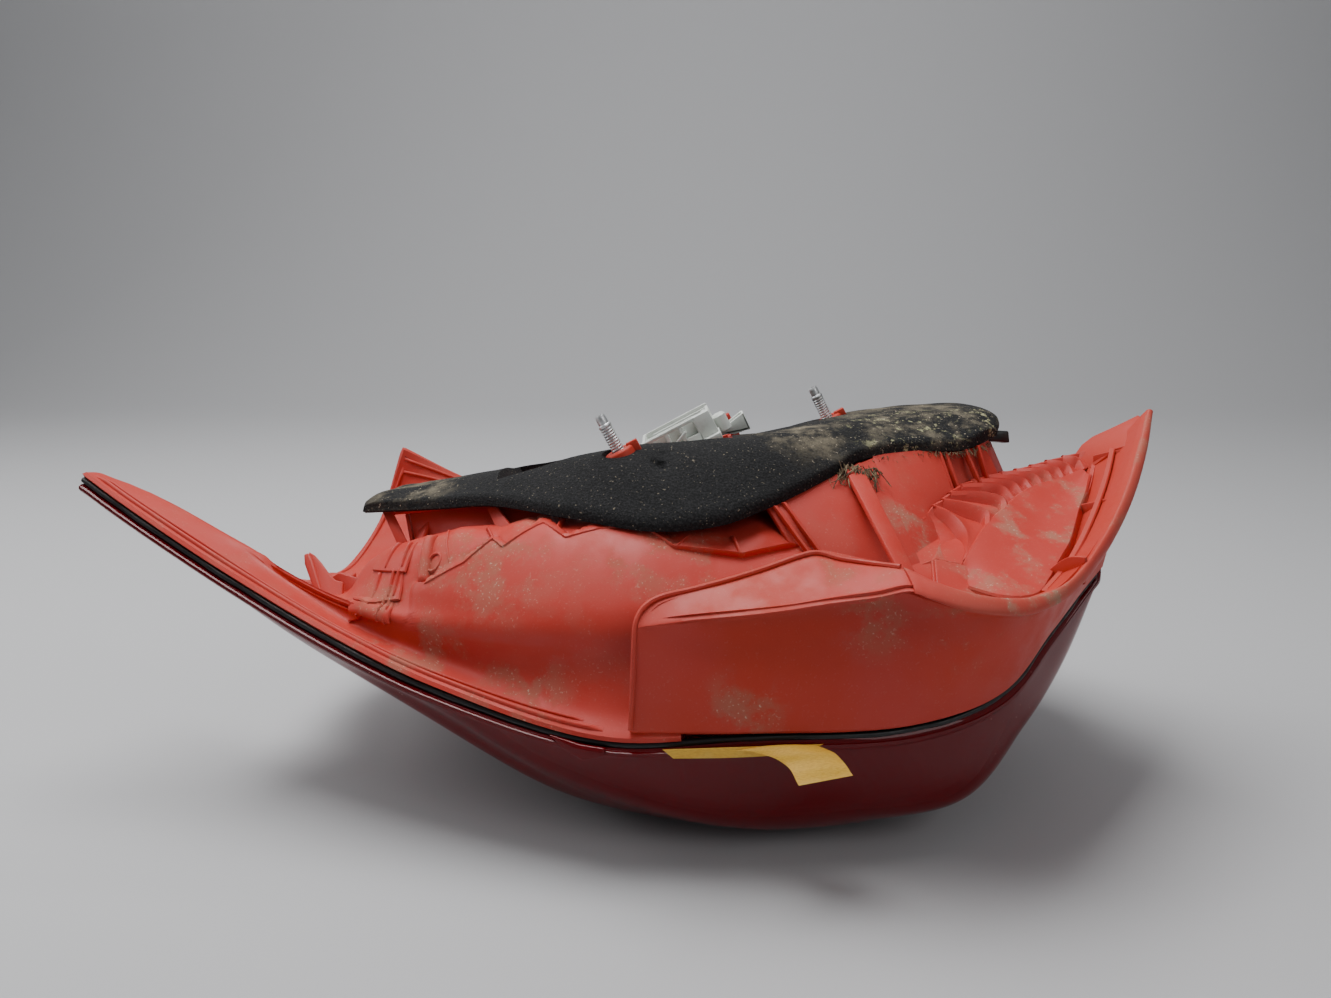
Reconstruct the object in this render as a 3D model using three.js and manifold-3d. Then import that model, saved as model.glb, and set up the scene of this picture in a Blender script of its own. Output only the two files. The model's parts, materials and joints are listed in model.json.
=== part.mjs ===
// Rear corner lamp of a hatchback car, lying on its lens as it does on a bench.
// Millimetres. +X runs along the lamp towards the raised wing, +Y across it, +Z up through the fixing studs' side.
import * as THREE from 'three';
import { mergeVertices } from 'three/addons/utils/BufferGeometryUtils.js';
import Module from 'manifold-3d';

const wasm = await Module();
wasm.setup();

// Driving dimensions.
const LENS_WALL = 2.5;
const HOUSING_WALL = 2.5;
const REFLECTOR_WALL = 1.6;
const FOAM_THICKNESS = 5.5;
const DECK_THICKNESS = 3;
const CLEARANCE = 0.35;
const GROOVE_CLEARANCE = 0.6;
const BEAD_HALF_HEIGHT = 1.2;
const BEAD_HALF_WIDTH = 1.6;
const RIM_GAP = BEAD_HALF_HEIGHT + CLEARANCE;
const FOAM_MARGIN = 1.5;
const OPEN_SKY = 45;
const RIM_SPACE = 7;
const STUD_RADIUS = 3;
const STUD_SHANK = 12;
const STUD_TOP = 24;
const DOG_POINT_LENGTH = 1.5;
const DOG_POINT_SHARE = 0.62;
const BOSS_RADIUS = 7;
const BOSS_ROOT = -14;
const BOSS_TOP = 6.5;
const BREATHER_RADIUS = 4;
const BREATHER_BORE = 2;
const BREATHER_CAP_RADIUS = 9;
const BREATHER_CAP_HEIGHT = 11;
const DRAW_LEAN = THREE.MathUtils.degToRad(28);
const CARRIER_LENGTH = 96;
const CARRIER_WIDTH = 46;
const CARRIER_PLATE = 3;
const WELL_WALL = 2.5;
const WELL_MARGIN = 1;
const BULB_PITCH = 31;
const BULB_GLASS_RADIUS = 12.5;
const BULB_CAP_RADIUS = 7.5;
const SOCKET_RADIUS = 10.5;
const SOCKET_DEPTH = 20;
const WELL_BOTTOM = -18;
const WELL_TOP = 34;
const CARRIER_RIB_WIDTH = 2;
const CARRIER_RIB_TOP = 8;
const CARRIER_RAIL_TOP = 9;
const CARRIER_RAIL_PLACE = 16;
const CARRIER_RIB_PLACES = [-40, -26, -12, 2];
const LATCH_GAP_START = 41.6;
const LATCH_WIDTH = 12;
const PIN_COUNT = 5;
const PIN_PITCH = 4.4;
const PIN_HALF_WIDTH = 0.6;
const PIN_HALF_THICKNESS = 0.4;
const PIN_LENGTH = 6;
const STRIP_HALF_LENGTH = 44;
const STRIP_WIDTH = 5;
const STRIP_THICKNESS = 0.8;
const STRIP_TAB_HALF_WIDTH = 3;
const STRIP_TAB_DEPTH = 9;
const STEP_COUNT = 12;
const STEPS_LENGTH = 108;
const STEPS_RISE = 17;
const STEPS_WIDTH = 26;
const STEPS_FLOOR = -14;
const STEP_TOOTH = 5.5;
const WING_RIB_THICKNESS = 2;
const FINGER_THICKNESS = 3;
const OPTIC_INSET = 6;
const SHELL_STATIONS = 26;
const DECK_STATIONS = 20;
const PANEL_STATIONS = 22;

// Everything that is drawn or fastened from the back follows one direction, leaning DRAW_LEAN left from upright.
const carrierOrigin = new THREE.Vector3(-16, 14, 137);

// The lamp's rim, where lens and housing meet: a near edge, a far edge, the notched left end and the right end.
const nearRim = [
  [-270, -5, 139], [-247, -15, 127], [-192, -38, 101], [-138, -62, 80], [-94, -80, 67],
  [-24, -102, 55], [32, -104, 58], [98, -96, 58], [137, -78, 64], [167, -48, 79], [198, -12, 92],
];
const farRim = [
  [-152, 112, 131], [-120, 118, 112], [-70, 124, 92], [0, 128, 80],
  [70, 124, 78], [130, 112, 84], [175, 95, 93], [200, 74, 101],
];
const notchRim = [
  [-266, 1, 137], [-184, -10, 93], [-178, 2, 85], [-178, 22, 78],
  [-178, 48, 72], [-175, 76, 71], [-164, 100, 90],
];
const rightRim = [
  [203, -6, 94], [207, 3, 97], [210, 12, 99], [212, 22, 101], [213, 33, 103], [212, 46, 104], [208, 60, 103],
];

// Guide curves of the housing's inner face, from the flange by the near rim up over the back to the far rim.
const housingMiddles = [
  [[-250, 2, 131], [-203, -15, 111], [-165, -31, 92], [-132, -49, 80], [-78, -72, 70], [-20, -95, 63],
    [32, -97, 66], [98, -90, 66], [137, -72, 72], [165, -44, 86]],
  [[-150, -29, 86], [-125, -46, 90], [-90, -64, 93], [-40, -81, 96], [10, -86, 96], [60, -82, 98],
    [110, -72, 100], [150, -52, 104], [180, -25, 108]],
  [[-156, -4, 82], [-146, -9, 86], [-138, -14, 98], [-112, -30, 113], [-75, -43, 121], [-30, -53, 125],
    [10, -57, 124], [55, -54, 120], [105, -58, 112], [150, -46, 114], [188, -12, 124]],
  [[-156, 12, 80], [-146, 8, 86], [-138, -1, 103], [-123, -5, 111], [-100, -8, 120], [-60, -15, 126],
    [-20, -22, 129], [20, -22, 129], [70, -15, 126], [120, -5, 120], [165, 8, 126], [195, 17, 126]],
  [[-156, 42, 76], [-146, 41, 79], [-136, 40, 85], [-120, 38, 97], [-100, 36, 112], [-80, 35, 122], [-20, 30, 130],
    [40, 30, 130], [100, 35, 125], [150, 38, 124], [190, 38, 122]],
  [[-154, 70, 77], [-138, 73, 83], [-118, 76, 93], [-95, 77, 105], [-40, 78, 120], [40, 80, 124],
    [110, 80, 120], [165, 72, 116]],
  [[-144, 96, 98], [-90, 106, 98], [-10, 111, 98], [70, 111, 100], [140, 101, 102], [185, 83, 104]],
];

// Guide curves of the lens's inner face, from the steep near wall down under the belly to the far wall.
const lensMiddles = [
  [[-240, -10, 119], [-205, -26, 101], [-160, -46, 79], [-96, -70, 57], [-44, -84, 34], [14, -93, 20],
    [71, -92, 20], [120, -86, 24], [152, -62, 44], [175, -40, 63]],
  [[-150, -24, 70], [-96, -48, 40], [-44, -62, 14], [14, -70, 5], [71, -70, 5], [118, -60, 12],
    [154, -38, 36], [181, -16, 64]],
  [[-145, -4, 54], [-96, -12, 24], [-44, -20, 6], [0, -24, 2.5], [60, -24, 2.5], [112, -18, 10],
    [155, -4, 36], [186, 6, 68]],
  [[-145, 22, 46], [-96, 20, 20], [-44, 18, 5], [0, 16, 2.5], [60, 16, 2.5], [112, 18, 11],
    [158, 24, 40], [188, 26, 70]],
  [[-145, 52, 44], [-96, 50, 22], [-44, 50, 8], [10, 48, 5], [65, 48, 7], [115, 48, 18],
    [160, 46, 46], [190, 42, 74]],
  [[-142, 78, 48], [-90, 80, 32], [-30, 82, 21], [40, 82, 19], [100, 78, 26], [150, 70, 52], [186, 60, 78]],
  [[-136, 104, 78], [-80, 111, 58], [-10, 114, 46], [60, 112, 44], [120, 101, 54], [165, 84, 76]],
];

// Guide curves of the face that the foam gasket lies on, near edge first.
const deckGuides = [
  [[-142, 0, 122], [-103, -14, 127], [-78, -25, 131], [-40, -48, 131], [-5, -61, 129], [22, -60, 131],
    [44, -48, 136], [73, -25, 144], [88, -12, 149], [116, 0, 151], [140, 5, 151], [160, 20, 155]],
  [[-143, 8, 123], [-100, 5, 131], [-60, -8, 141], [-20, -22, 150], [15, -24, 153], [50, -14, 155],
    [85, 8, 157], [120, 22, 158], [150, 30, 159], [165, 34, 159]],
  [[-141, 18, 123], [-100, 25, 129], [-60, 25, 136], [-20, 22, 143], [15, 22, 147], [50, 24, 151],
    [85, 30, 157], [120, 42, 160], [150, 50, 160], [166, 50, 160]],
  [[-140, 27, 122.5], [-100, 42, 125], [-60, 54, 130], [-20, 58, 135], [15, 58, 139], [50, 58, 145],
    [85, 62, 153], [120, 66, 158], [148, 68, 159], [160, 62, 159]],
  [[-138, 36, 122], [-98, 58, 122], [-60, 72, 124], [-20, 78, 127], [15, 78, 131], [50, 76, 138],
    [85, 78, 147], [120, 80, 153], [142, 78, 155], [152, 70, 156]],
];

// Guide curves of the side panel, its overhanging crease, the wing's lip and the channel behind the lip.
const panelGuides = [
  [[-13, -105, 61], [32, -107, 62], [98, -100, 62], [137, -82, 67], [167, -52, 82], [190, -26, 92], [206, -8, 98]],
  [[-12, -104, 82], [32, -107, 84], [98, -104, 84], [140, -90, 86], [172, -58, 95], [195, -30, 106], [214, 0, 122]],
  [[-10, -101, 100], [32, -101, 100], [70, -100, 101], [100, -103, 104], [138, -98, 104], [170, -70, 107],
    [196, -36, 124], [222, 6, 145]],
  [[-9, -100, 103], [31, -104, 107], [65, -106, 112], [95, -108, 115], [125, -112, 111], [143, -105, 110],
    [160, -88, 110], [184, -58, 119], [204, -32, 134], [221, -5, 152], [232, 15, 167]],
  [[-9, -93, 107], [22, -90, 117], [44, -86, 122], [59, -82, 124], [75, -86, 122], [94, -100, 123],
    [107, -108, 120], [124, -110, 117], [142, -102, 115], [160, -84, 117], [182, -58, 126],
    [200, -34, 138], [217, -7, 154], [230, 15, 169]],
  [[-9, -86, 104], [30, -78, 110], [59, -72, 116], [95, -82, 116], [118, -86, 111], [140, -80, 112],
    [158, -66, 117], [180, -42, 128], [200, -14, 140], [212, 18, 150]],
  [[-9, -74, 98], [30, -64, 106], [60, -58, 112], [95, -64, 110], [120, -66, 107], [145, -56, 109],
    [172, -33, 117], [192, -6, 124], [203, 20, 128]],
];

// Guide curves of the marking tape, from its edge by the lens's rim to its curled free end.
const tapeGuides = [
  [[20, -108.6, 55], [34, -112, 56], [45, -118, 54], [49, -126, 50]],
  [[50, -108.6, 57], [57, -111, 58], [64, -116, 57], [69, -124, 53]],
];
const TAPE_THICKNESS = 0.5;

// ---- geometry helpers -------------------------------------------------------------------------------------

const vector = ([x, y, z]) => new THREE.Vector3(x, y, z);

const spline = (points) => new THREE.CatmullRomCurve3(points.map(vector), false, 'centripetal');

/** A grid of points on the surface that passes through the guide curves. */
function loft(guides, along, across, smooth = true) {
  const curves = guides.map(spline);
  const grid = [];
  for (let i = 0; i <= along; i += 1) {
    const stations = curves.map((curve) => curve.getPointAt(i / along));
    const section = smooth ? new THREE.CatmullRomCurve3(stations, false, 'centripetal') : null;
    const row = [];
    const steps = across * (guides.length - 1);
    for (let j = 0; j <= steps; j += 1) {
      if (smooth) {
        row.push(section.getPoint(j / steps));
      } else {
        const span = Math.min(Math.floor(j / across), guides.length - 2);
        row.push(stations[span].clone().lerp(stations[span + 1], j / across - span));
      }
    }
    grid.push(row);
  }
  return grid;
}

/** The same grid moved along its normals. */
function offsetGrid(grid, distance) {
  const last = grid.length - 1;
  const end = grid[0].length - 1;
  return grid.map((row, i) => row.map((point, j) => {
    const alongStep = grid[Math.min(i + 1, last)][j].clone().sub(grid[Math.max(i - 1, 0)][j]);
    const acrossStep = row[Math.min(j + 1, end)].clone().sub(row[Math.max(j - 1, 0)]);
    return point.clone().addScaledVector(alongStep.cross(acrossStep).normalize(), distance);
  }));
}

/** The same grid with its border moved outwards by a margin. */
function spread(grid, margin) {
  const wider = grid.map((row) => row.map((point) => point.clone()));
  const push = (edge, inner) => edge.add(edge.clone().sub(inner).setLength(margin));
  const last = grid.length - 1;
  const end = grid[0].length - 1;
  wider.forEach((row, i) => {
    push(row[0], grid[i][1]);
    push(row[end], grid[i][end - 1]);
  });
  wider[0].forEach((point, j) => push(point, grid[1][j]));
  wider[last].forEach((point, j) => push(point, grid[last - 1][j]));
  return wider;
}

/** A geometry from points and triangles, turned so that its faces point out. */
function closedGeometry(points, triangles) {
  let volume = 0;
  for (const [a, b, c] of triangles) {
    volume += points[a].dot(points[b].clone().cross(points[c]));
  }
  const ordered = volume < 0 ? triangles.map(([a, b, c]) => [a, c, b]) : triangles;
  const geometry = new THREE.BufferGeometry();
  geometry.setAttribute('position', new THREE.Float32BufferAttribute(points.flatMap((p) => p.toArray()), 3));
  geometry.setIndex(ordered.flat());
  return geometry;
}

/** A closed sheet between two grids of the same size. */
function between(lower, upper) {
  const rows = lower.length;
  const columns = lower[0].length;
  const points = [...lower.flat(), ...upper.flat()];
  const id = (layer, i, j) => (layer * rows + i) * columns + j;
  const triangles = [];
  const quad = (a, b, c, d) => triangles.push([a, b, c], [a, c, d]);
  for (let i = 0; i < rows - 1; i += 1) {
    for (let j = 0; j < columns - 1; j += 1) {
      quad(id(0, i, j), id(0, i, j + 1), id(0, i + 1, j + 1), id(0, i + 1, j));
      quad(id(1, i, j), id(1, i + 1, j), id(1, i + 1, j + 1), id(1, i, j + 1));
    }
    quad(id(0, i, 0), id(0, i + 1, 0), id(1, i + 1, 0), id(1, i, 0));
    quad(id(0, i + 1, columns - 1), id(0, i, columns - 1), id(1, i, columns - 1), id(1, i + 1, columns - 1));
  }
  for (let j = 0; j < columns - 1; j += 1) {
    quad(id(0, 0, j + 1), id(0, 0, j), id(1, 0, j), id(1, 0, j + 1));
    quad(id(0, rows - 1, j), id(0, rows - 1, j + 1), id(1, rows - 1, j + 1), id(1, rows - 1, j));
  }
  return closedGeometry(points, triangles);
}

const sheet = (grid, thickness) => between(grid, offsetGrid(grid, thickness));

/** A flat-sided slab with the given corners and thickness, centred on them. */
function slab(corners, thickness) {
  const [a, b, c] = corners.map(vector);
  const normal = b.clone().sub(a).cross(c.clone().sub(a)).normalize();
  const count = corners.length;
  const points = [-0.5, 0.5].flatMap((side) => (
    corners.map((corner) => vector(corner).addScaledVector(normal, side * thickness))
  ));
  const triangles = [];
  for (let i = 1; i < count - 1; i += 1) {
    triangles.push([0, i + 1, i], [count, count + i, count + i + 1]);
  }
  for (let i = 0; i < count; i += 1) {
    const next = (i + 1) % count;
    triangles.push([i, next, count + next], [i, count + next, count + i]);
  }
  return closedGeometry(points, triangles);
}

function toSolid(geometry) {
  const bare = geometry.index ? geometry.clone() : geometry;
  bare.deleteAttribute('normal');
  bare.deleteAttribute('uv');
  const merged = mergeVertices(bare, 1e-4);
  return new wasm.Manifold(new wasm.Mesh({
    numProp: 3,
    vertProperties: new Float32Array(merged.attributes.position.array),
    triVerts: new Uint32Array(merged.index.array),
  }));
}

function toGeometry(solid) {
  const mesh = solid.getMesh();
  const geometry = new THREE.BufferGeometry();
  geometry.setAttribute('position', new THREE.Float32BufferAttribute(mesh.vertProperties, 3));
  geometry.setIndex(new THREE.Uint32BufferAttribute(mesh.triVerts, 1));
  return geometry;
}

const join = (geometries) => geometries.map(toSolid).reduce((whole, piece) => whole.add(piece));
const cut = (solid, geometries) => geometries.map(toSolid).reduce((whole, piece) => whole.subtract(piece), solid);

/** The solid's largest body, without the crumbs that a cut leaves. */
const biggest = (solid) => solid.decompose().reduce((a, b) => (b.volume() > a.volume() ? b : a));

/** Moves a geometry that is modelled on +Z onto the draw direction, at a point. */
function onDrawAxis(geometry, point) {
  geometry.rotateY(-DRAW_LEAN);
  return geometry.translate(point.x, point.y, point.z);
}

/** A round solid on +Z from bottom to top. */
function post(radius, bottom, top, sides = 20) {
  return new THREE.CylinderGeometry(radius, radius, top - bottom, sides)
    .rotateX(Math.PI / 2)
    .translate(0, 0, (top + bottom) / 2);
}

/** A box on the carrier's axes from its low corner to its high corner. */
function block([x0, y0, z0], [x1, y1, z1]) {
  return new THREE.BoxGeometry(x1 - x0, y1 - y0, z1 - z0)
    .translate((x0 + x1) / 2, (y0 + y1) / 2, (z0 + z1) / 2);
}

/** A lathe solid on +Z, from a profile of radius and height that starts and ends on the axis. */
function turned(profile, sides = 20) {
  const rising = profile[0][1] < profile[profile.length - 1][1] ? profile : [...profile].reverse();
  return new THREE.LatheGeometry(
    rising.map(([radius, height]) => new THREE.Vector2(radius, height)), sides,
  ).rotateX(Math.PI / 2);
}

// ---- the rim and the two shells ---------------------------------------------------------------------------

const lift = (points, height) => points.map(([x, y, z]) => [x, y, z + height]);

/** Guide curves that run from the notched end to the right end, with the given middles, lifted off the rim. */
function shellGuides(middles, height) {
  const inner = middles.map((middle, k) => [
    ...lift([notchRim[k]], height), ...middle, ...lift([rightRim[k]], height),
  ]);
  return [lift(nearRim, height), ...inner, lift(farRim, height)];
}

const lensGrid = loft(shellGuides(lensMiddles, -RIM_GAP), SHELL_STATIONS, 2);
const housingGrid = loft(shellGuides(housingMiddles, RIM_GAP), SHELL_STATIONS, 2);
const deckGrid = loft(deckGuides, DECK_STATIONS, 2);

function outerLens() {
  return toGeometry(biggest(cut(toSolid(sheet(lensGrid, -LENS_WALL)), sealGroove())));
}

/** The sealing bead that fills the joint between lens and housing, all round the rim, or its groove. */
function rimRing(grow) {
  const low = lensGrid;
  const last = low.length - 1;
  const end = low[0].length - 1;
  const loop = [
    ...low.map((row) => row[0]),
    ...low[last].slice(1),
    ...low.slice(0, last).reverse().map((row) => row[end]),
    ...low[0].slice(1, end).reverse(),
  ];
  const count = loop.length;
  const points = [];
  const triangles = [];
  loop.forEach((point, i) => {
    const tangent = loop[(i + 1) % count].clone().sub(loop[(i + count - 1) % count]).setZ(0).normalize();
    const side = new THREE.Vector3(tangent.y, -tangent.x, 0);
    const middle = point.clone().setZ(point.z + RIM_GAP);
    [[-1, -1], [1, -1], [1, 1], [-1, 1]].forEach(([across, up]) => {
      points.push(middle.clone()
        .addScaledVector(side, across * (BEAD_HALF_WIDTH + grow))
        .add(new THREE.Vector3(0, 0, up * (BEAD_HALF_HEIGHT + grow))));
    });
    for (let k = 0; k < 4; k += 1) {
      const a = i * 4 + k;
      const b = i * 4 + ((k + 1) % 4);
      const c = ((i + 1) % count) * 4 + ((k + 1) % 4);
      const d = ((i + 1) % count) * 4 + k;
      triangles.push([a, b, c], [a, c, d]);
    }
  });
  return closedGeometry(points, triangles);
}

/** What the bead needs cleared: itself with room around it, and itself again for the folded corners. */
const sealGroove = () => [rimRing(GROOVE_CLEARANCE), rimRing(0)];

// ---- the housing ------------------------------------------------------------------------------------------

/** Walls and ribs that carry the deck above the housing's back. */
function supportWalls() {
  const walls = [
    [[-134, 6, 124], [-119, -8, 108], [-112, -8, 108], [-124, 4, 126]],
    [[-121, 0, 128], [-112, -12, 112], [-66, -40, 116], [-66, -30, 136]],
    [[42, -46, 137], [58, -60, 112], [108, -62, 110], [96, -8, 150]],
    [[94, -8, 151], [108, -58, 110], [136, -20, 118], [128, 4, 152]],
    [[126, 4, 152], [138, -14, 116], [168, 10, 122], [152, 14, 153]],
    [[150, 14, 154], [166, 16, 124], [176, 40, 124], [160, 44, 158]],
    [[-60, 66, 134], [-50, 78, 108], [60, 82, 108], [50, 68, 150]],
    [[48, 68, 150], [60, 80, 108], [150, 78, 108], [140, 66, 158]],
  ];
  return walls.map((corners) => slab(corners, HOUSING_WALL));
}

/** Twelve saw-tooth steps that climb from the pocket to the wing. */
function accordionSteps() {
  const foot = new THREE.Vector3(127, -30, 123);
  const heading = Math.atan2(58, 91);
  const pitch = STEPS_LENGTH / STEP_COUNT;
  const shape = new THREE.Shape();
  shape.moveTo(0, STEPS_FLOOR);
  for (let i = 0; i < STEP_COUNT; i += 1) {
    const height = (i / STEP_COUNT) * STEPS_RISE;
    shape.lineTo(i * pitch, height);
    shape.lineTo((i + 0.25) * pitch, height + STEP_TOOTH);
  }
  shape.lineTo(STEPS_LENGTH, STEPS_RISE);
  shape.lineTo(STEPS_LENGTH, STEPS_RISE + STEPS_FLOOR);
  return new THREE.ExtrudeGeometry(shape, { depth: STEPS_WIDTH, bevelEnabled: false })
    .rotateX(Math.PI / 2)
    .translate(0, STEPS_WIDTH, 0)
    .rotateZ(heading)
    .translate(foot.x, foot.y, foot.z);
}

/** Three ribs that tie the wing's lip to its channel. */
function wingRibs() {
  const stations = [
    [[160, -84, 116], [158, -64, 118], [158, -64, 108], [160, -84, 108]],
    [[192, -46, 131], [185, -34, 131], [185, -34, 120], [192, -46, 122]],
    [[214, -10, 150], [204, -2, 146], [204, -2, 134], [214, -10, 140]],
  ];
  return stations.map((corners) => slab(corners, WING_RIB_THICKNESS));
}

/** The pointed finger and its web, in the notch between the two arms. */
function fingerTab() {
  return [
    slab([[-174, 2, 104], [-170, -4, 103], [-146, -24, 84], [-150, -18, 76], [-176, 0, 82]], FINGER_THICKNESS),
    slab([[-176, 0, 88], [-174, 36, 82], [-160, 36, 80], [-160, -4, 84]], FINGER_THICKNESS),
  ];
}

function studBoss(foot) {
  return onDrawAxis(post(BOSS_RADIUS, BOSS_ROOT, BOSS_TOP), foot);
}

/** The tube that the bulb carrier drops into, open at both ends. */
function wellTube(grow, bottom, top) {
  const halfLength = CARRIER_LENGTH / 2 + WELL_MARGIN + grow;
  const halfWidth = CARRIER_WIDTH / 2 + WELL_MARGIN + grow;
  return onDrawAxis(
    block([-halfLength, -halfWidth, bottom], [halfLength, halfWidth, top]), carrierOrigin,
  );
}

const breatherFoot = new THREE.Vector3(96, 92, 124);
const studFeet = {
  left: new THREE.Vector3(-18, -22, 150.5),
  right: new THREE.Vector3(86, 50, 154.5),
};

function rearHousing() {
  // Behind the side panel the panel itself is the wall, so the bowl is open there.
  const behindPanel = block([6, -140, 20], [166, -66, 104]);
  const bowl = cut(toSolid(sheet(housingGrid, HOUSING_WALL)), [behindPanel]);
  const deck = sheet(offsetGrid(deckGrid, -CLEARANCE), -DECK_THICKNESS);
  const panel = sheet(loft(panelGuides, PANEL_STATIONS, 1, false), HOUSING_WALL);
  const foamFloor = spread(offsetGrid(deckGrid, -CLEARANCE), FOAM_MARGIN);
  const foamSpace = between(foamFloor, foamFloor.map((row) => row.map((p) => p.clone().setZ(p.z + OPEN_SKY))));
  const rimSpace = sheet(offsetGrid(housingGrid, -RIM_SPACE), RIM_SPACE);
  const well = wellTube(WELL_WALL, WELL_BOTTOM, WELL_TOP);
  const under = cut(join([...supportWalls(), ...fingerTab(), well]), [rimSpace]);
  const trimmed = cut(under.add(toSolid(deck)), [foamSpace]);
  const moulded = join([
    panel, accordionSteps(), ...wingRibs(), ...Object.values(studFeet).map(studBoss),
    onDrawAxis(post(BREATHER_RADIUS, -20, 4), breatherFoot),
  ]).add(trimmed);
  const studHoles = Object.values(studFeet).map((foot) => (
    onDrawAxis(post(STUD_RADIUS + CLEARANCE, -STUD_SHANK - CLEARANCE, BOSS_TOP + 1), foot)
  ));
  const breatherHole = onDrawAxis(post(BREATHER_BORE, -40, 20), breatherFoot);
  return toGeometry(biggest(
    cut(bowl.add(moulded), [wellTube(0, -70, 60), ...sealGroove(), ...studHoles, breatherHole]),
  ));
}

// ---- gasket, studs and small fittings ---------------------------------------------------------------------

function foamGasket() {
  const foam = toSolid(sheet(deckGrid, FOAM_THICKNESS));
  const bossHoles = Object.values(studFeet).map((foot) => (
    onDrawAxis(post(BOSS_RADIUS + CLEARANCE, -20, 30), foot)
  ));
  return toGeometry(cut(foam, [wellTube(WELL_WALL + CLEARANCE, -40, 60), ...bossHoles]));
}

function stud(foot) {
  const dogPoint = STUD_RADIUS * DOG_POINT_SHARE;
  return onDrawAxis(turned([
    [0, -STUD_SHANK], [STUD_RADIUS, -STUD_SHANK], [STUD_RADIUS, STUD_TOP - 2 * DOG_POINT_LENGTH],
    [dogPoint, STUD_TOP - DOG_POINT_LENGTH], [dogPoint, STUD_TOP], [0, STUD_TOP],
  ], 16), foot);
}

function breatherCap() {
  const bore = BREATHER_RADIUS + CLEARANCE;
  const skirt = 1;
  const roof = 6;
  return onDrawAxis(turned([
    [0, BREATHER_CAP_HEIGHT], [BREATHER_CAP_RADIUS - 1, BREATHER_CAP_HEIGHT],
    [BREATHER_CAP_RADIUS, BREATHER_CAP_HEIGHT - 2], [BREATHER_CAP_RADIUS, skirt],
    [bore, skirt], [bore, roof], [0, roof],
  ], 18), breatherFoot);
}

// ---- bulb carrier and what it holds -----------------------------------------------------------------------

const bulbPlaces = [-BULB_PITCH, 0, BULB_PITCH];
const connectorLow = [12, -9, CARRIER_PLATE];
const connectorHigh = [40, 9, 12];
const latchEnds = { left: -1, right: 1 };

function bulbCarrier() {
  const halfLength = CARRIER_LENGTH / 2;
  const halfWidth = CARRIER_WIDTH / 2;
  const plate = block([-halfLength, -halfWidth, 0], [halfLength, halfWidth, CARRIER_PLATE]);
  const sockets = bulbPlaces.map((x) => post(SOCKET_RADIUS, -SOCKET_DEPTH, 1).translate(x, 0, 0));
  const [x0, y0, z0] = connectorLow;
  const shroud = block([x0, y0, z0 - 1], connectorHigh);
  const railOuter = CARRIER_RAIL_PLACE + CARRIER_RIB_WIDTH;
  const ribs = CARRIER_RIB_PLACES.map((x) => (
    block([x, -railOuter, 1], [x + CARRIER_RIB_WIDTH, railOuter, CARRIER_RIB_TOP])
  ));
  const rails = [-railOuter, CARRIER_RAIL_PLACE].map((y) => (
    block([CARRIER_RIB_PLACES[0], y, 1], [CARRIER_RAIL_PLACE, y + CARRIER_RIB_WIDTH, CARRIER_RAIL_TOP])
  ));
  const bores = bulbPlaces.map((x) => (
    post(BULB_CAP_RADIUS + CLEARANCE, -SOCKET_DEPTH - 1, -2).translate(x, 0, 0)
  ));
  const plugSpace = block(
    [x0 + 2, y0 + 2, z0 + 1], [connectorHigh[0] - 2, connectorHigh[1] - 2, connectorHigh[2] + 1],
  );
  const latchGaps = Object.values(latchEnds).map((end) => (
    block([end < 0 ? -halfLength - 1 : LATCH_GAP_START, -LATCH_WIDTH / 2 - 1, -1],
      [end < 0 ? -LATCH_GAP_START : halfLength + 1, LATCH_WIDTH / 2 + 1, CARRIER_PLATE + 1])
  ));
  const solid = cut(join([plate, ...sockets, shroud, ...ribs, ...rails]), [...bores, plugSpace, ...latchGaps]);
  return onDrawAxis(toGeometry(solid), carrierOrigin);
}

/** A sprung latch at one end of the carrier: a foot, an upright finger and a hook. */
function carrierLatch(end) {
  const shape = new THREE.Shape();
  shape.moveTo(42.4, 0.2);
  shape.lineTo(45.5, 0.2);
  shape.lineTo(45.5, 8);
  shape.lineTo(47.6, 9.5);
  shape.lineTo(45.5, 12);
  shape.lineTo(43, 12);
  shape.lineTo(42.4, 8);
  shape.closePath();
  const latch = new THREE.ExtrudeGeometry(shape, { depth: LATCH_WIDTH, bevelEnabled: false })
    .rotateX(Math.PI / 2)
    .translate(0, LATCH_WIDTH / 2, 0);
  if (end < 0) {
    latch.rotateZ(Math.PI);
  }
  return onDrawAxis(latch, carrierOrigin);
}

function connectorPin(number) {
  const x = (connectorLow[0] + connectorHigh[0]) / 2 + (number - (PIN_COUNT + 1) / 2) * PIN_PITCH;
  const z = CARRIER_PLATE + 1 + CLEARANCE;
  return onDrawAxis(block(
    [x - PIN_HALF_WIDTH, -PIN_HALF_THICKNESS, z], [x + PIN_HALF_WIDTH, PIN_HALF_THICKNESS, z + PIN_LENGTH],
  ), carrierOrigin);
}

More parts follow.
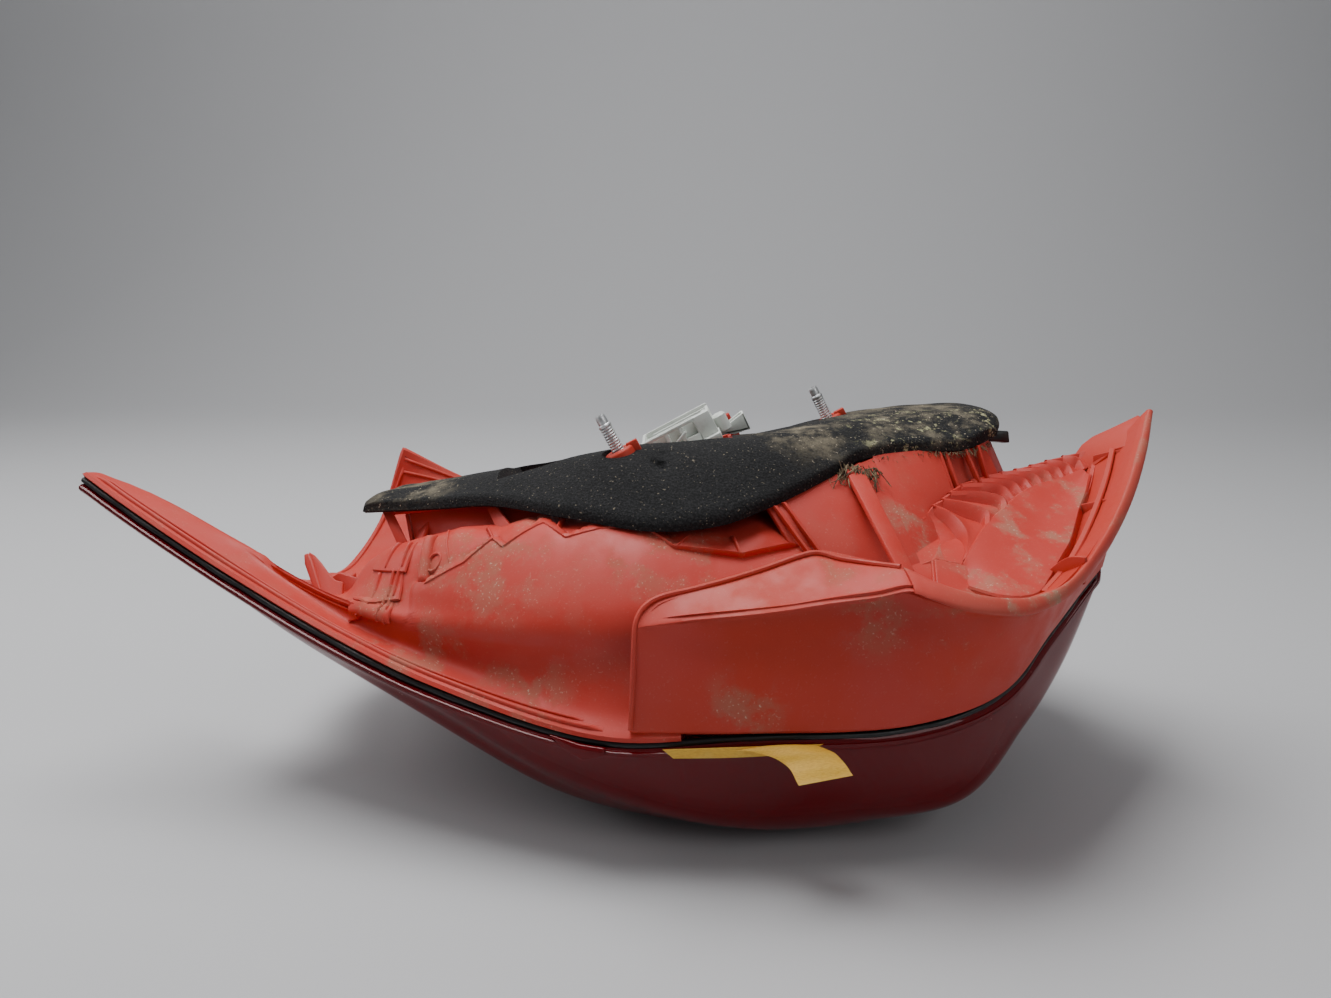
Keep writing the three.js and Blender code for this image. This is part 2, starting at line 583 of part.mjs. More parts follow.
/** A stamped strip that runs beside the bulb sockets, under the plate. */
function contactStrip(side) {
  const inner = SOCKET_RADIUS + 1.5;
  const outer = inner + STRIP_WIDTH;
  const strip = [
    [-STRIP_HALF_LENGTH, side * inner, -CLEARANCE], [STRIP_HALF_LENGTH, side * inner, -CLEARANCE],
    [STRIP_HALF_LENGTH, side * outer, -CLEARANCE], [-STRIP_HALF_LENGTH, side * outer, -CLEARANCE],
  ];
  const flat = slab(strip, STRIP_THICKNESS).translate(0, 0, -STRIP_THICKNESS / 2);
  const tabTop = -0.6;
  const tabs = bulbPlaces.map((x) => slab([
    [x - STRIP_TAB_HALF_WIDTH, side * inner, tabTop], [x + STRIP_TAB_HALF_WIDTH, side * inner, tabTop],
    [x + STRIP_TAB_HALF_WIDTH, side * inner, -STRIP_TAB_DEPTH],
    [x - STRIP_TAB_HALF_WIDTH, side * inner, -STRIP_TAB_DEPTH],
  ], STRIP_THICKNESS));
  return onDrawAxis(toGeometry(join([flat, ...tabs])), carrierOrigin);
}

const CAP_TOP = -2.6 - CLEARANCE;
const CAP_SHOULDER = -5;
const CAP_BOTTOM = -24;
const CAP_CONTACT_RADIUS = 3;
const GLASS_NECK_RADIUS = 6.5;
const GLASS_CENTRE = -43;
const GLASS_STEPS = 6;

function bulbCap(x) {
  return onDrawAxis(turned([
    [0, CAP_TOP], [CAP_CONTACT_RADIUS, CAP_TOP], [BULB_CAP_RADIUS, CAP_SHOULDER],
    [BULB_CAP_RADIUS, CAP_BOTTOM], [0, CAP_BOTTOM],
  ], 18).translate(x, 0, 0), carrierOrigin);
}

function bulbGlass(x) {
  const neck = CAP_BOTTOM - CLEARANCE;
  const profile = [[0, neck], [GLASS_NECK_RADIUS, neck], [GLASS_NECK_RADIUS + 1, neck - 4]];
  for (let i = 0; i <= GLASS_STEPS; i += 1) {
    const angle = THREE.MathUtils.degToRad(40 + (i / GLASS_STEPS) * 140);
    const radius = i === GLASS_STEPS ? 0 : BULB_GLASS_RADIUS * Math.sin(angle);
    profile.push([radius, GLASS_CENTRE + BULB_GLASS_RADIUS * Math.cos(angle)]);
  }
  return onDrawAxis(turned(profile, 18).translate(x, 0, 0), carrierOrigin);
}

// ---- optics -----------------------------------------------------------------------------------------------

const reflectorGuides = [
  [[-112, -38, 64], [-40, -68, 54], [40, -74, 52], [118, -56, 62]],
  [[-114, -8, 84], [-40, -25, 100], [40, -26, 102], [128, -18, 88]],
  [[-114, 20, 88], [-40, 18, 108], [40, 18, 110], [132, 18, 92]],
  [[-112, 50, 84], [-40, 56, 98], [40, 56, 100], [130, 50, 88]],
  [[-108, 78, 66], [-40, 92, 56], [40, 94, 54], [122, 80, 64]],
];

function reflector() {
  const dish = toSolid(sheet(loft(reflectorGuides, 16, 2), REFLECTOR_WALL));
  const holes = bulbPlaces.map((x) => (
    onDrawAxis(post(BULB_GLASS_RADIUS + 1.5, -90, 0, 24).translate(x, 0, 0), carrierOrigin)
  ));
  return toGeometry(biggest(cut(dish, [...holes, wellTube(WELL_WALL + 1, -60, 20)])));
}

/** A fluted inner optic that follows the lens a few millimetres inside it. */
function innerOptic(rowStart, rowEnd, columnStart, columnEnd) {
  const inside = offsetGrid(lensGrid, OPTIC_INSET);
  const patch = inside.slice(rowStart, rowEnd + 1).map((row) => row.slice(columnStart, columnEnd + 1));
  return sheet(patch, REFLECTOR_WALL);
}

// ---- assembly ---------------------------------------------------------------------------------------------

const paint = (color, roughness, metalness = 0) => new THREE.MeshStandardMaterial({ color, roughness, metalness });
const lensRed = paint(0x5a0812, 0.15);
const housingRed = paint(0xc24a40, 0.5);
const blackRubber = paint(0x1b1b1d, 0.9);
const zinc = paint(0xb4b6b8, 0.35, 1);
const paleGrey = paint(0xcfd3cc, 0.5);
const brass = paint(0xb8963f, 0.35, 1);
const chrome = paint(0xe6e6e6, 0.08, 1);
const clear = paint(0xf2f4f4, 0.05);
const innerRed = paint(0xb01020, 0.2);
const yellow = paint(0xf0b020, 0.6);

const lamp = new THREE.Group();

function addPiece(name, geometry, material) {
  const mesh = new THREE.Mesh(geometry, material);
  mesh.name = name;
  lamp.add(mesh);
}

addPiece('outer_lens', outerLens(), lensRed);
addPiece('lens_seal', rimRing(0), blackRubber);
addPiece('rear_housing', rearHousing(), housingRed);
addPiece('reflector', reflector(), chrome);
addPiece('brake_light_optic', innerOptic(7, 14, 3, 8), innerRed);
addPiece('indicator_optic', innerOptic(15, 20, 3, 8), clear);
addPiece('reflex_reflector', innerOptic(9, 17, 10, 13), innerRed);
addPiece('foam_gasket', foamGasket(), blackRubber);
addPiece('stud_left', stud(studFeet.left), zinc);
addPiece('stud_right', stud(studFeet.right), zinc);
addPiece('breather_cap', breatherCap(), blackRubber);
addPiece('marking_tape', sheet(loft(tapeGuides, 8, 1, false), TAPE_THICKNESS), yellow);
addPiece('bulb_carrier', bulbCarrier(), paleGrey);
Object.entries(latchEnds).forEach(([side, end]) => addPiece(`carrier_latch_${side}`, carrierLatch(end), paleGrey));
for (let number = 1; number <= PIN_COUNT; number += 1) {
  addPiece(`connector_pin_${number}`, connectorPin(number), brass);
}
addPiece('contact_strip_feed', contactStrip(-1), brass);
addPiece('contact_strip_earth', contactStrip(1), brass);
['brake_tail', 'indicator', 'reversing'].forEach((use, i) => {
  addPiece(`${use}_bulb_cap`, bulbCap(bulbPlaces[i]), brass);
  addPiece(`${use}_bulb_glass`, bulbGlass(bulbPlaces[i]), clear);
});

// The bench frame's origin is on the bench, below the middle of the lamp.
const bounds = new THREE.Box3().setFromObject(lamp);
const middle = bounds.getCenter(new THREE.Vector3());
lamp.position.set(-middle.x, -middle.y, -bounds.min.z);

export default lamp;
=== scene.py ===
"""A hatchback's rear corner lamp lying on its lens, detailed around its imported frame.

Places are millimetres in the lamp's design frame; placed() moves them to the bench frame, in metres.
+X runs along the lamp towards the raised wing, +Y across it, +Z up through the fixing studs' side.
"""
import json
import math

import bmesh
import bpy
import numpy as np
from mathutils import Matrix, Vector


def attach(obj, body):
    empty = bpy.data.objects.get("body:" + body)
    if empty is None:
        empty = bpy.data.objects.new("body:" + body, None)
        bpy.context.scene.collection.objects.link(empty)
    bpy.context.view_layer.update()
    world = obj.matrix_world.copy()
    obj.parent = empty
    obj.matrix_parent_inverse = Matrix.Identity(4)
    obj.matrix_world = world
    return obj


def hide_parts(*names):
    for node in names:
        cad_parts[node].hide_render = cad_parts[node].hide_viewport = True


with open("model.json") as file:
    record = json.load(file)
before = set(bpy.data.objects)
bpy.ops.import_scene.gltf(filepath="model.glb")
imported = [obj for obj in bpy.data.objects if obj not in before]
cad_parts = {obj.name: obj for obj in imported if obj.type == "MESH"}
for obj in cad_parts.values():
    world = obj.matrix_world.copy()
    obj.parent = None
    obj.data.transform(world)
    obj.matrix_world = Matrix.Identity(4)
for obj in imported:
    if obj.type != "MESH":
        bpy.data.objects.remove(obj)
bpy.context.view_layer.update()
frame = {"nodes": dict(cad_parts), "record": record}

# Driving dimensions, as the CAD part has them.
LENS_WALL = 2.5
HOUSING_WALL = 2.5
FOAM_THICKNESS = 5.5
DECK_THICKNESS = 3
BEAD_HALF_HEIGHT = 1.2
BEAD_HALF_WIDTH = 1.6
CLEARANCE = 0.35
RIM_GAP = BEAD_HALF_HEIGHT + CLEARANCE
DRAW_LEAN = math.radians(28)
CARRIER_LENGTH = 96
CARRIER_WIDTH = 46
CARRIER_PLATE = 3
WELL_WALL = 2.5
WELL_MARGIN = 1
BULB_PITCH = 31
BULB_CAP_RADIUS = 7.5
SOCKET_RADIUS = 10.5
SOCKET_DEPTH = 20
BOSS_RADIUS = 7
BOSS_TOP = 6.5
STUD_RADIUS = 3
STUD_SHANK = 12
STUD_TOP = 24
STUD_PITCH = 1.25
CARRIER_ORIGIN = np.array([-16.0, 14.0, 137.0])
STUD_FEET = {"left": np.array([-18.0, -22.0, 150.5]), "right": np.array([86.0, 50.0, 154.5])}

# The left boss's face is a mount, so its place ties the design frame to the bench frame. The mount's point
# sits on that face beside the stud.
DRAW_AXIS = np.array([-math.sin(DRAW_LEAN), 0, math.cos(DRAW_LEAN)])
DRAW_TURN = np.array([[math.cos(DRAW_LEAN), 0, math.sin(DRAW_LEAN)], [0, 1, 0], DRAW_AXIS])
BOSS_FACE_LEFT = STUD_FEET["left"] + BOSS_TOP * DRAW_AXIS
BESIDE_STUD = np.array([0, 5.0, 0])
mounts = {mount["name"]: np.array(mount["pos_m"]) for mount in frame["record"]["mounts"]}
SHIFT = mounts["boss_face_left"] * 1000 - BOSS_FACE_LEFT - BESIDE_STUD

# Cuts for the well and the studs reach well past the shells on both sides.
CUT_REACH = 60
HOLE_REACH = 30
# Edges that turn by more than this, in radians, are rounded.
SHARP_ANGLE = 0.35

# Guide curves of the rim, the shells and the deck, as in the CAD part, except that the bowl lies up to 7 mm
# lower under the gasket's left end.
NEAR_RIM = [
    (-270, -5, 139), (-247, -15, 127), (-192, -38, 101), (-138, -62, 80), (-94, -80, 67), (-24, -102, 55),
    (32, -104, 58), (98, -96, 58), (137, -78, 64), (167, -48, 79), (198, -12, 92),
]
FAR_RIM = [
    (-152, 112, 131), (-120, 118, 112), (-70, 124, 92), (0, 128, 80), (70, 124, 78), (130, 112, 84),
    (175, 95, 93), (200, 74, 101),
]
NOTCH_RIM = [
    (-266, 1, 137), (-184, -10, 93), (-178, 2, 85), (-178, 22, 78), (-178, 48, 72), (-175, 76, 71),
    (-164, 100, 90),
]
RIGHT_RIM = [
    (203, -6, 94), (207, 3, 97), (210, 12, 99), (212, 22, 101), (213, 33, 103), (212, 46, 104),
    (208, 60, 103),
]
HOUSING_MIDDLES = [
    [(-250, 2, 131), (-203, -15, 111), (-165, -31, 92), (-132, -49, 80), (-78, -72, 70), (-20, -95, 63),
     (32, -97, 66), (98, -90, 66), (137, -72, 72), (165, -44, 86)],
    [(-150, -29, 86), (-125, -46, 90), (-90, -64, 93), (-40, -81, 96), (10, -86, 96), (60, -82, 98),
     (110, -72, 100), (150, -52, 104), (180, -25, 108)],
    [(-156, -4, 82), (-146, -9, 86), (-138, -14, 98), (-112, -30, 113), (-75, -43, 121), (-30, -53, 125),
     (10, -57, 124), (55, -54, 120), (105, -58, 112), (150, -46, 114), (188, -12, 124)],
    [(-156, 12, 80), (-146, 8, 86), (-138, -1, 97), (-123, -5, 104), (-100, -8, 112.5), (-60, -15, 122.5),
     (-20, -22, 129), (20, -22, 129), (70, -15, 126), (120, -5, 120), (165, 8, 126), (195, 17, 126)],
    [(-156, 42, 76), (-146, 41, 79), (-136, 40, 85), (-120, 38, 93), (-100, 36, 107), (-80, 35, 118),
     (-20, 30, 130), (40, 30, 130), (100, 35, 125), (150, 38, 124), (190, 38, 122)],
    [(-154, 70, 77), (-138, 73, 83), (-118, 76, 93), (-95, 77, 105), (-40, 78, 120), (40, 80, 124),
     (110, 80, 120), (165, 72, 116)],
    [(-144, 96, 98), (-90, 106, 98), (-10, 111, 98), (70, 111, 100), (140, 101, 102), (185, 83, 104)],
]
LENS_MIDDLES = [
    [(-240, -10, 119), (-205, -26, 101), (-160, -46, 79), (-96, -70, 57), (-44, -84, 34), (14, -93, 20),
     (71, -92, 20), (120, -86, 24), (152, -62, 44), (175, -40, 63)],
    [(-150, -24, 70), (-96, -48, 40), (-44, -62, 14), (14, -70, 5), (71, -70, 5), (118, -60, 12),
     (154, -38, 36), (181, -16, 64)],
    [(-145, -4, 54), (-96, -12, 24), (-44, -20, 6), (0, -24, 2.5), (60, -24, 2.5), (112, -18, 10),
     (155, -4, 36), (186, 6, 68)],
    [(-145, 22, 46), (-96, 20, 20), (-44, 18, 5), (0, 16, 2.5), (60, 16, 2.5), (112, 18, 11),
     (158, 24, 40), (188, 26, 70)],
    [(-145, 52, 44), (-96, 50, 22), (-44, 50, 8), (10, 48, 5), (65, 48, 7), (115, 48, 18), (160, 46, 46),
     (190, 42, 74)],
    [(-142, 78, 48), (-90, 80, 32), (-30, 82, 21), (40, 82, 19), (100, 78, 26), (150, 70, 52),
     (186, 60, 78)],
    [(-136, 104, 78), (-80, 111, 58), (-10, 114, 46), (60, 112, 44), (120, 101, 54), (165, 84, 76)],
]
DECK_GUIDES = [
    [(-142, 0, 122), (-103, -14, 127), (-78, -25, 131), (-40, -48, 131), (-5, -61, 129), (22, -60, 131),
     (44, -48, 136), (73, -25, 144), (88, -12, 149), (116, 0, 151), (140, 5, 151), (160, 20, 155)],
    [(-143, 8, 123), (-100, 5, 131), (-60, -8, 141), (-20, -22, 150), (15, -24, 153), (50, -14, 155),
     (85, 8, 157), (120, 22, 158), (150, 30, 159), (165, 34, 159)],
    [(-141, 18, 123), (-100, 25, 129), (-60, 25, 136), (-20, 22, 143), (15, 22, 147), (50, 24, 151),
     (85, 30, 157), (120, 42, 160), (150, 50, 160), (166, 50, 160)],
    [(-140, 27, 122.5), (-100, 42, 125), (-60, 54, 130), (-20, 58, 135), (15, 58, 139), (50, 58, 145),
     (85, 62, 153), (120, 66, 158), (148, 68, 159), (160, 62, 159)],
    [(-138, 36, 122), (-98, 58, 122), (-60, 72, 124), (-20, 78, 127), (15, 78, 131), (50, 76, 138),
     (85, 78, 147), (120, 80, 153), (142, 78, 155), (152, 70, 156)],
]
# The side panel's guides are finer here than in the CAD part: its face is cut back below the crease,
# and the wing's lip stands over a sunk channel.
PANEL_GUIDES = [
    [(-13, -105, 61), (32, -107, 62), (98, -100, 62), (137, -82, 67), (167, -52, 82), (190, -26, 92),
     (206, -8, 98)],
    [(-12, -104, 82), (32, -106, 85), (65, -104, 87), (98, -102, 88), (140, -88, 89), (172, -57, 97),
     (195, -29, 107), (214, 0, 122)],
    [(-11, -102.5, 98), (12, -100, 99), (41, -96, 102), (64, -94, 104), (90, -95, 105), (121, -95, 101),
     (145, -85, 101), (160, -72, 105), (184, -46, 114), (204, -24, 128), (219, -1, 143), (231, 15, 160)],
    [(-10.5, -101.5, 102), (0, -102.5, 103.6), (12, -101, 105), (41, -99, 108), (64, -98, 112),
     (79, -99, 114.5), (90, -100, 116.5), (109, -103, 111), (121, -102, 108.5), (135, -97, 106.5),
     (147, -88, 106), (158, -79, 108), (182, -53, 116.5), (204, -28, 132), (220, -4, 149), (231, 15, 164)],
    [(-10.5, -101.6, 102.3), (0, -103.6, 104.6), (12, -105, 106.3), (41, -107, 109.8), (64, -108.5, 114),
     (79, -110, 116.8), (90, -112, 119.8), (97, -113, 117.5), (109, -114, 113.6), (121, -112, 111),
     (135, -106, 108.8), (147, -97, 108.8), (158, -87, 109.9), (182, -60, 118.3), (204, -33, 134.6),
     (221.5, -6, 152.4), (232.5, 15, 167.5)],
    [(-10.5, -99, 106), (-3, -94, 111.2), (23.5, -89, 116.8), (36, -87, 120.1), (55, -82.5, 125.3),
     (59.5, -82, 125.8), (68, -84, 124), (77, -87, 123.4), (90, -97, 124.2), (99, -105, 121.7),
     (110, -108, 118.6), (122, -107, 116), (134.5, -102, 114), (146, -95, 113.8), (160, -84, 116),
     (182, -58, 125), (200, -34, 138), (217, -7, 154), (230, 15, 169)],
    [(-9, -96, 104), (24, -86, 114), (36, -84, 117.5), (56, -79, 122.5), (77, -83, 121), (90, -92, 121),
     (100, -99, 118), (111, -102, 115), (122, -101, 113), (133, -97, 111.5), (144, -91, 112),
     (158, -82, 113.5), (179.5, -56, 122.5), (197.5, -32.5, 135.5), (214.5, -5.5, 151.5), (228, 15, 167)],
    [(-9, -88, 100), (30, -78, 108), (60, -72, 112), (95, -84, 110), (118, -93, 105), (135, -90, 103.5),
     (150, -76, 106), (172, -52, 115), (191, -27, 127), (208, -2, 142), (220, 17, 156)],
    [(-9, -74, 98), (30, -64, 106), (60, -58, 112), (95, -64, 106), (120, -72, 100), (140, -74, 99),
     (157, -62, 105), (172, -42, 110), (190, -10, 122), (200, 8, 132), (208, 28, 143)],
]
PANEL_CREASE_ROW = 4
PANEL_LIP_ROW = 5
TAPE_GUIDES = [
    [(20, -108.6, 55), (34, -112, 56), (45, -118, 54), (49, -126, 50)],
    [(50, -108.6, 57), (57, -111, 58), (64, -116, 57), (69, -124, 53)],
]


# ---- curves and grids --------------------------------------------------------------------------------------

def unit(vectors):
    lengths = np.linalg.norm(vectors, axis=-1, keepdims=True)
    return vectors / np.maximum(lengths, 1e-9)


def catmull(points, places):
    """Points at places from 0 to 1 on centripetal Catmull-Rom curves through rows of points."""
    rows = np.asarray(points, float)
    rows = np.concatenate([[2 * rows[0] - rows[1]], rows, [2 * rows[-1] - rows[-2]]])
    spans = len(rows) - 3
    found = []
    for place in places:
        span = min(int(place * spans), spans - 1)
        w = place * spans - span
        p = rows[span:span + 4]
        a, b, c = [
            np.maximum(np.linalg.norm(p[k + 1] - p[k], axis=-1, keepdims=True) ** 0.5, 1e-3) for k in range(3)
        ]
        start = ((p[1] - p[0]) / a - (p[2] - p[0]) / (a + b) + (p[2] - p[1]) / b) * b
        end = ((p[2] - p[1]) / b - (p[3] - p[1]) / (b + c) + (p[3] - p[2]) / c) * b
        square = 3 * (p[2] - p[1]) - 2 * start - end
        cube = 2 * (p[1] - p[2]) + start + end
        found.append(p[1] + start * w + square * w ** 2 + cube * w ** 3)
    return np.array(found)


def evenly(points, count):
    """Points at equal steps along a chain of points."""
    lengths = np.concatenate([[0], np.cumsum(np.linalg.norm(np.diff(points, axis=0), axis=1))])
    targets = np.linspace(0, lengths[-1], count)
    return np.stack([np.interp(targets, lengths, points[:, k]) for k in range(3)], axis=1)


def line(points, count):
    """Evenly spaced points along the smooth curve through the given ones."""
    return evenly(catmull(points, np.linspace(0, 1, 30 * len(points))), count)


def chain(points, count):
    """Evenly spaced points along straight stretches."""
    return evenly(np.asarray(points, float), count)


def along_x(points, count):
    """Points on the smooth curve through the given ones, at equal steps along the lamp."""
    fine = catmull(points, np.linspace(0, 1, 40 * len(points)))
    targets = np.linspace(fine[0, 0], fine[-1, 0], count)
    return np.stack([np.interp(targets, fine[:, 0], fine[:, k]) for k in range(3)], axis=1)


def loft(guides, along, across, smooth=True, sample=line):
    """A grid on the surface through guide curves: first index along them, second across."""
    stations = np.array([sample(guide, along + 1) for guide in guides])
    places = np.linspace(0, 1, across * (len(guides) - 1) + 1)
    if smooth:
        return catmull(stations, places).transpose(1, 0, 2)
    spans = places * (len(guides) - 1)
    low = np.minimum(spans.astype(int), len(guides) - 2)
    part = (spans - low)[:, None, None]
    return (stations[low] * (1 - part) + stations[low + 1] * part).transpose(1, 0, 2)


def normals(grid):
    return unit(np.cross(np.gradient(grid, axis=0), np.gradient(grid, axis=1)))


def offset(grid, distance):
    """The grid moved along its normals, by one distance or by one for each point."""
    return grid + normals(grid) * np.asarray(distance)[..., None]


def soften(grid, passes):
    """The grid with its bends across rounded by averaging; the ends stay."""
    soft = grid.copy()
    for _ in range(passes):
        soft[:, 1:-1] = soft[:, 1:-1] / 2 + (soft[:, :-2] + soft[:, 2:]) / 4
    return soft


def lift(points, height):
    return [(x, y, z + height) for x, y, z in points]


def shell_guides(middles, height):
    """Guide curves from the notched end to the right end, lifted off the rim."""
    inner = [
        lift([NOTCH_RIM[k]], height) + list(middle) + lift([RIGHT_RIM[k]], height)
        for k, middle in enumerate(middles)
    ]
    return [lift(NEAR_RIM, height), *inner, lift(FAR_RIM, height)]


def loop_of(grid):
    """The grid's border, once round."""
    return np.concatenate([grid[:, 0], grid[-1, 1:], grid[-2::-1, -1], grid[0, -2:0:-1]])


def outwards(grid):
    """Directions out of the grid along its border, and zero inside it."""
    away = np.zeros_like(grid)
    away[:, 0] += unit(grid[:, 0] - grid[:, 1])
    away[:, -1] += unit(grid[:, -1] - grid[:, -2])
    away[0] += unit(grid[0] - grid[1])
    away[-1] += unit(grid[-1] - grid[-2])
    return unit(away)


def circle(sides):
    """Unit directions round +Z."""
    angles = np.linspace(0, 2 * np.pi, sides, endpoint=False)
    return np.stack([np.cos(angles), np.sin(angles), 0 * angles], axis=1)


def ellipse(count, half_width, half_height):
    """A section's points, round an ellipse."""
    return circle(count)[:, :2] * [half_width, half_height]


# ---- parts: points in millimetres and faces ----------------------------------------------------------------

def sheet(grid, thickness, rounding=0.4):
    """A closed sheet from a grid to its offset, with a rounded rim."""
    rows, columns = grid.shape[:2]
    count = rows * columns
    upper = offset(grid, thickness)
    middle = (grid + upper) / 2 + outwards(grid) * abs(thickness) * rounding
    ids = np.arange(count).reshape(rows, columns)
    points = np.concatenate([grid.reshape(-1, 3), upper.reshape(-1, 3), loop_of(middle)])
    quads = np.stack([ids[:-1, :-1], ids[:-1, 1:], ids[1:, 1:], ids[1:, :-1]], axis=-1).reshape(-1, 4)
    faces = [*quads.tolist(), *(quads + count).tolist()]
    rim = loop_of(ids[..., None])[:, 0]
    total = len(rim)
    for k in range(total):
        after = (k + 1) % total
        faces.append([rim[k], rim[after], 2 * count + after, 2 * count + k])
        faces.append([2 * count + k, 2 * count + after, rim[after] + count, rim[k] + count])
    return points, faces


def tube_faces(rows, turns, closed=False):
    """Faces of a tube of rings of points, capped at its ends or closed on itself."""
    faces = []
    for k in range(rows if closed else rows - 1):
        after = (k + 1) % rows
        for m in range(turns):
            n = (m + 1) % turns
            faces.append([k * turns + m, k * turns + n, after * turns + n, after * turns + m])
    if not closed:
        faces += [list(range(turns)), [(rows - 1) * turns + m for m in range(turns)]]
    return faces


def swept(path, section, side, up, closed=False):
    """A solid drawn along a path: section points are (sideways, upwards) from it."""
    rows = len(path)
    side = np.broadcast_to(side, (rows, 3))
    up = np.broadcast_to(up, (rows, 3))
    across, above = np.transpose(section)
    points = [path[k] + np.outer(across, side[k]) + np.outer(above, up[k]) for k in range(rows)]
    return np.concatenate(points), tube_faces(rows, len(section), closed)


def plate(corners, thickness):
    """A flat plate with the given corners, as thick as given, centred on them."""
    outline = np.asarray(corners, float)
    spokes = outline[1:] - outline[0]
    half = unit(np.cross(spokes[:-1], spokes[1:]).sum(axis=0)) * thickness / 2
    count = len(outline)
    faces = [list(range(count)), list(range(count, 2 * count))]
    faces += [[k, (k + 1) % count, count + (k + 1) % count, count + k] for k in range(count)]
    return np.concatenate([outline - half, outline + half]), faces


def bar(low, high):
    """A box from its low corner to its high corner."""
    x0, y0, z0 = low
    x1, y1, z1 = high
    middle = (z0 + z1) / 2
    return plate([(x0, y0, middle), (x1, y0, middle), (x1, y1, middle), (x0, y1, middle)], z1 - z0)


def turned(profile, sides=32):
    """A lathe solid on +Z from (radius, height) points that start and end on the axis."""
    ring = circle(sides)
    inner = profile[1:-1]
    points = [np.array([[0, 0, profile[0][1]]])]
    points += [ring * radius + [0, 0, height] for radius, height in inner]
    points.append(np.array([[0, 0, profile[-1][1]]]))
    last = len(inner) * sides + 1
    faces = []
    for k in range(sides):
        after = (k + 1) % sides
        faces.append([0, 1 + k, 1 + after])
        for level in range(len(inner) - 1):
            start = 1 + level * sides
            faces.append([start + k, start + after, start + sides + after, start + sides + k])
        faces.append([last, last - sides + k, last - sides + after])
    return np.concatenate(points), faces


def pipe(profile, sides=32):
    """A lathe ring on +Z from a closed loop of (radius, height) points."""
    ring = circle(sides)
    points = np.concatenate([ring * radius + [0, 0, height] for radius, height in profile])
    return points, tube_faces(len(profile), sides, closed=True)


def rounded(part, radius, segments=2):
    """The part with its sharp edges rounded."""
    mesh = bmesh.new()
    corners = [mesh.verts.new(point) for point in part[0]]
    for face in part[1]:
        mesh.faces.new([corners[k] for k in face])
    bmesh.ops.recalc_face_normals(mesh, faces=mesh.faces[:])
    sharp = []
    for edge in mesh.edges:
        if len(edge.link_faces) == 2 and edge.calc_face_angle() > SHARP_ANGLE:
            sharp.append(edge)
    bmesh.ops.bevel(mesh, geom=sharp, offset=radius, segments=segments, affect="EDGES", profile=0.5,
                    clamp_overlap=True)
    mesh.verts.index_update()
    points = np.array([vertex.co[:] for vertex in mesh.verts])
    faces = [[vertex.index for vertex in face.verts] for face in mesh.faces]
    mesh.free()
    return points, faces


def rounded_plate(corners, thickness, radius=0.6, segments=2):
    return rounded(plate(corners, thickness), radius, segments)


def moved(part, by):
    return part[0] + np.asarray(by, float), part[1]


def on_draw_axis(part, foot):
    """A part modelled on +Z, put on the draw direction at a point."""
    return part[0] @ DRAW_TURN + foot, part[1]


def merged(parts):
    """Several parts as one."""
    points, faces, start = [], [], 0
    for part_points, part_faces in parts:
        points.append(part_points)
        faces += [[k + start for k in face] for face in part_faces]
        start += len(part_points)
    return np.concatenate(points), faces


# ---- pieces: Blender objects -------------------------------------------------------------------------------

def placed(points):
    return (np.asarray(points) + SHIFT) / 1000


def raw_piece(name, part):
    """An object from a part, with its faces turned out."""
    mesh = bpy.data.meshes.new(name)
    mesh.from_pydata(placed(part[0]).tolist(), [], part[1])
    shape = bmesh.new()
    shape.from_mesh(mesh)
    bmesh.ops.recalc_face_normals(shape, faces=shape.faces[:])
    shape.to_mesh(mesh)
    shape.free()
    piece = bpy.data.objects.new(name, mesh)
    bpy.context.scene.collection.objects.link(piece)
    return piece


def settle(piece):
    """Applies the piece's modifiers."""
    evaluated = piece.evaluated_get(bpy.context.evaluated_depsgraph_get())
    mesh = bpy.data.meshes.new_from_object(evaluated)
    piece.modifiers.clear()
    piece.data = mesh


def carve(piece, parts):
    """Cuts parts out of a piece."""
    tools = [raw_piece(f"{piece.name}_tool", part) for part in parts]
    for tool in tools:
        cut = piece.modifiers.new("cut", "BOOLEAN")
        cut.operation = "DIFFERENCE"
        cut.object = tool
        cut.solver = "EXACT"
    settle(piece)
    for tool in tools:
        bpy.data.objects.remove(tool)


def finish_piece(piece, material, body="lamp", crease=40):
    """Gives a piece its finish, smooth shading with creases and its body."""
    piece.data.materials.clear()
    piece.data.materials.append(material)
    piece.data.shade_smooth()
    piece.data.set_sharp_from_angle(angle=math.radians(crease))
    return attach(piece, body)


def make(name, parts, material, body="lamp", crease=40, stands_for=None):
    """A finished piece from one part or several; stands_for is the CAD node that it replaces."""
    whole = merged(parts) if isinstance(parts, list) else parts
    piece = finish_piece(raw_piece(name, whole), material, body, crease)
    if stands_for:
        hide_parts(stands_for)


# ---- materials ---------------------------------------------------------------------------------------------

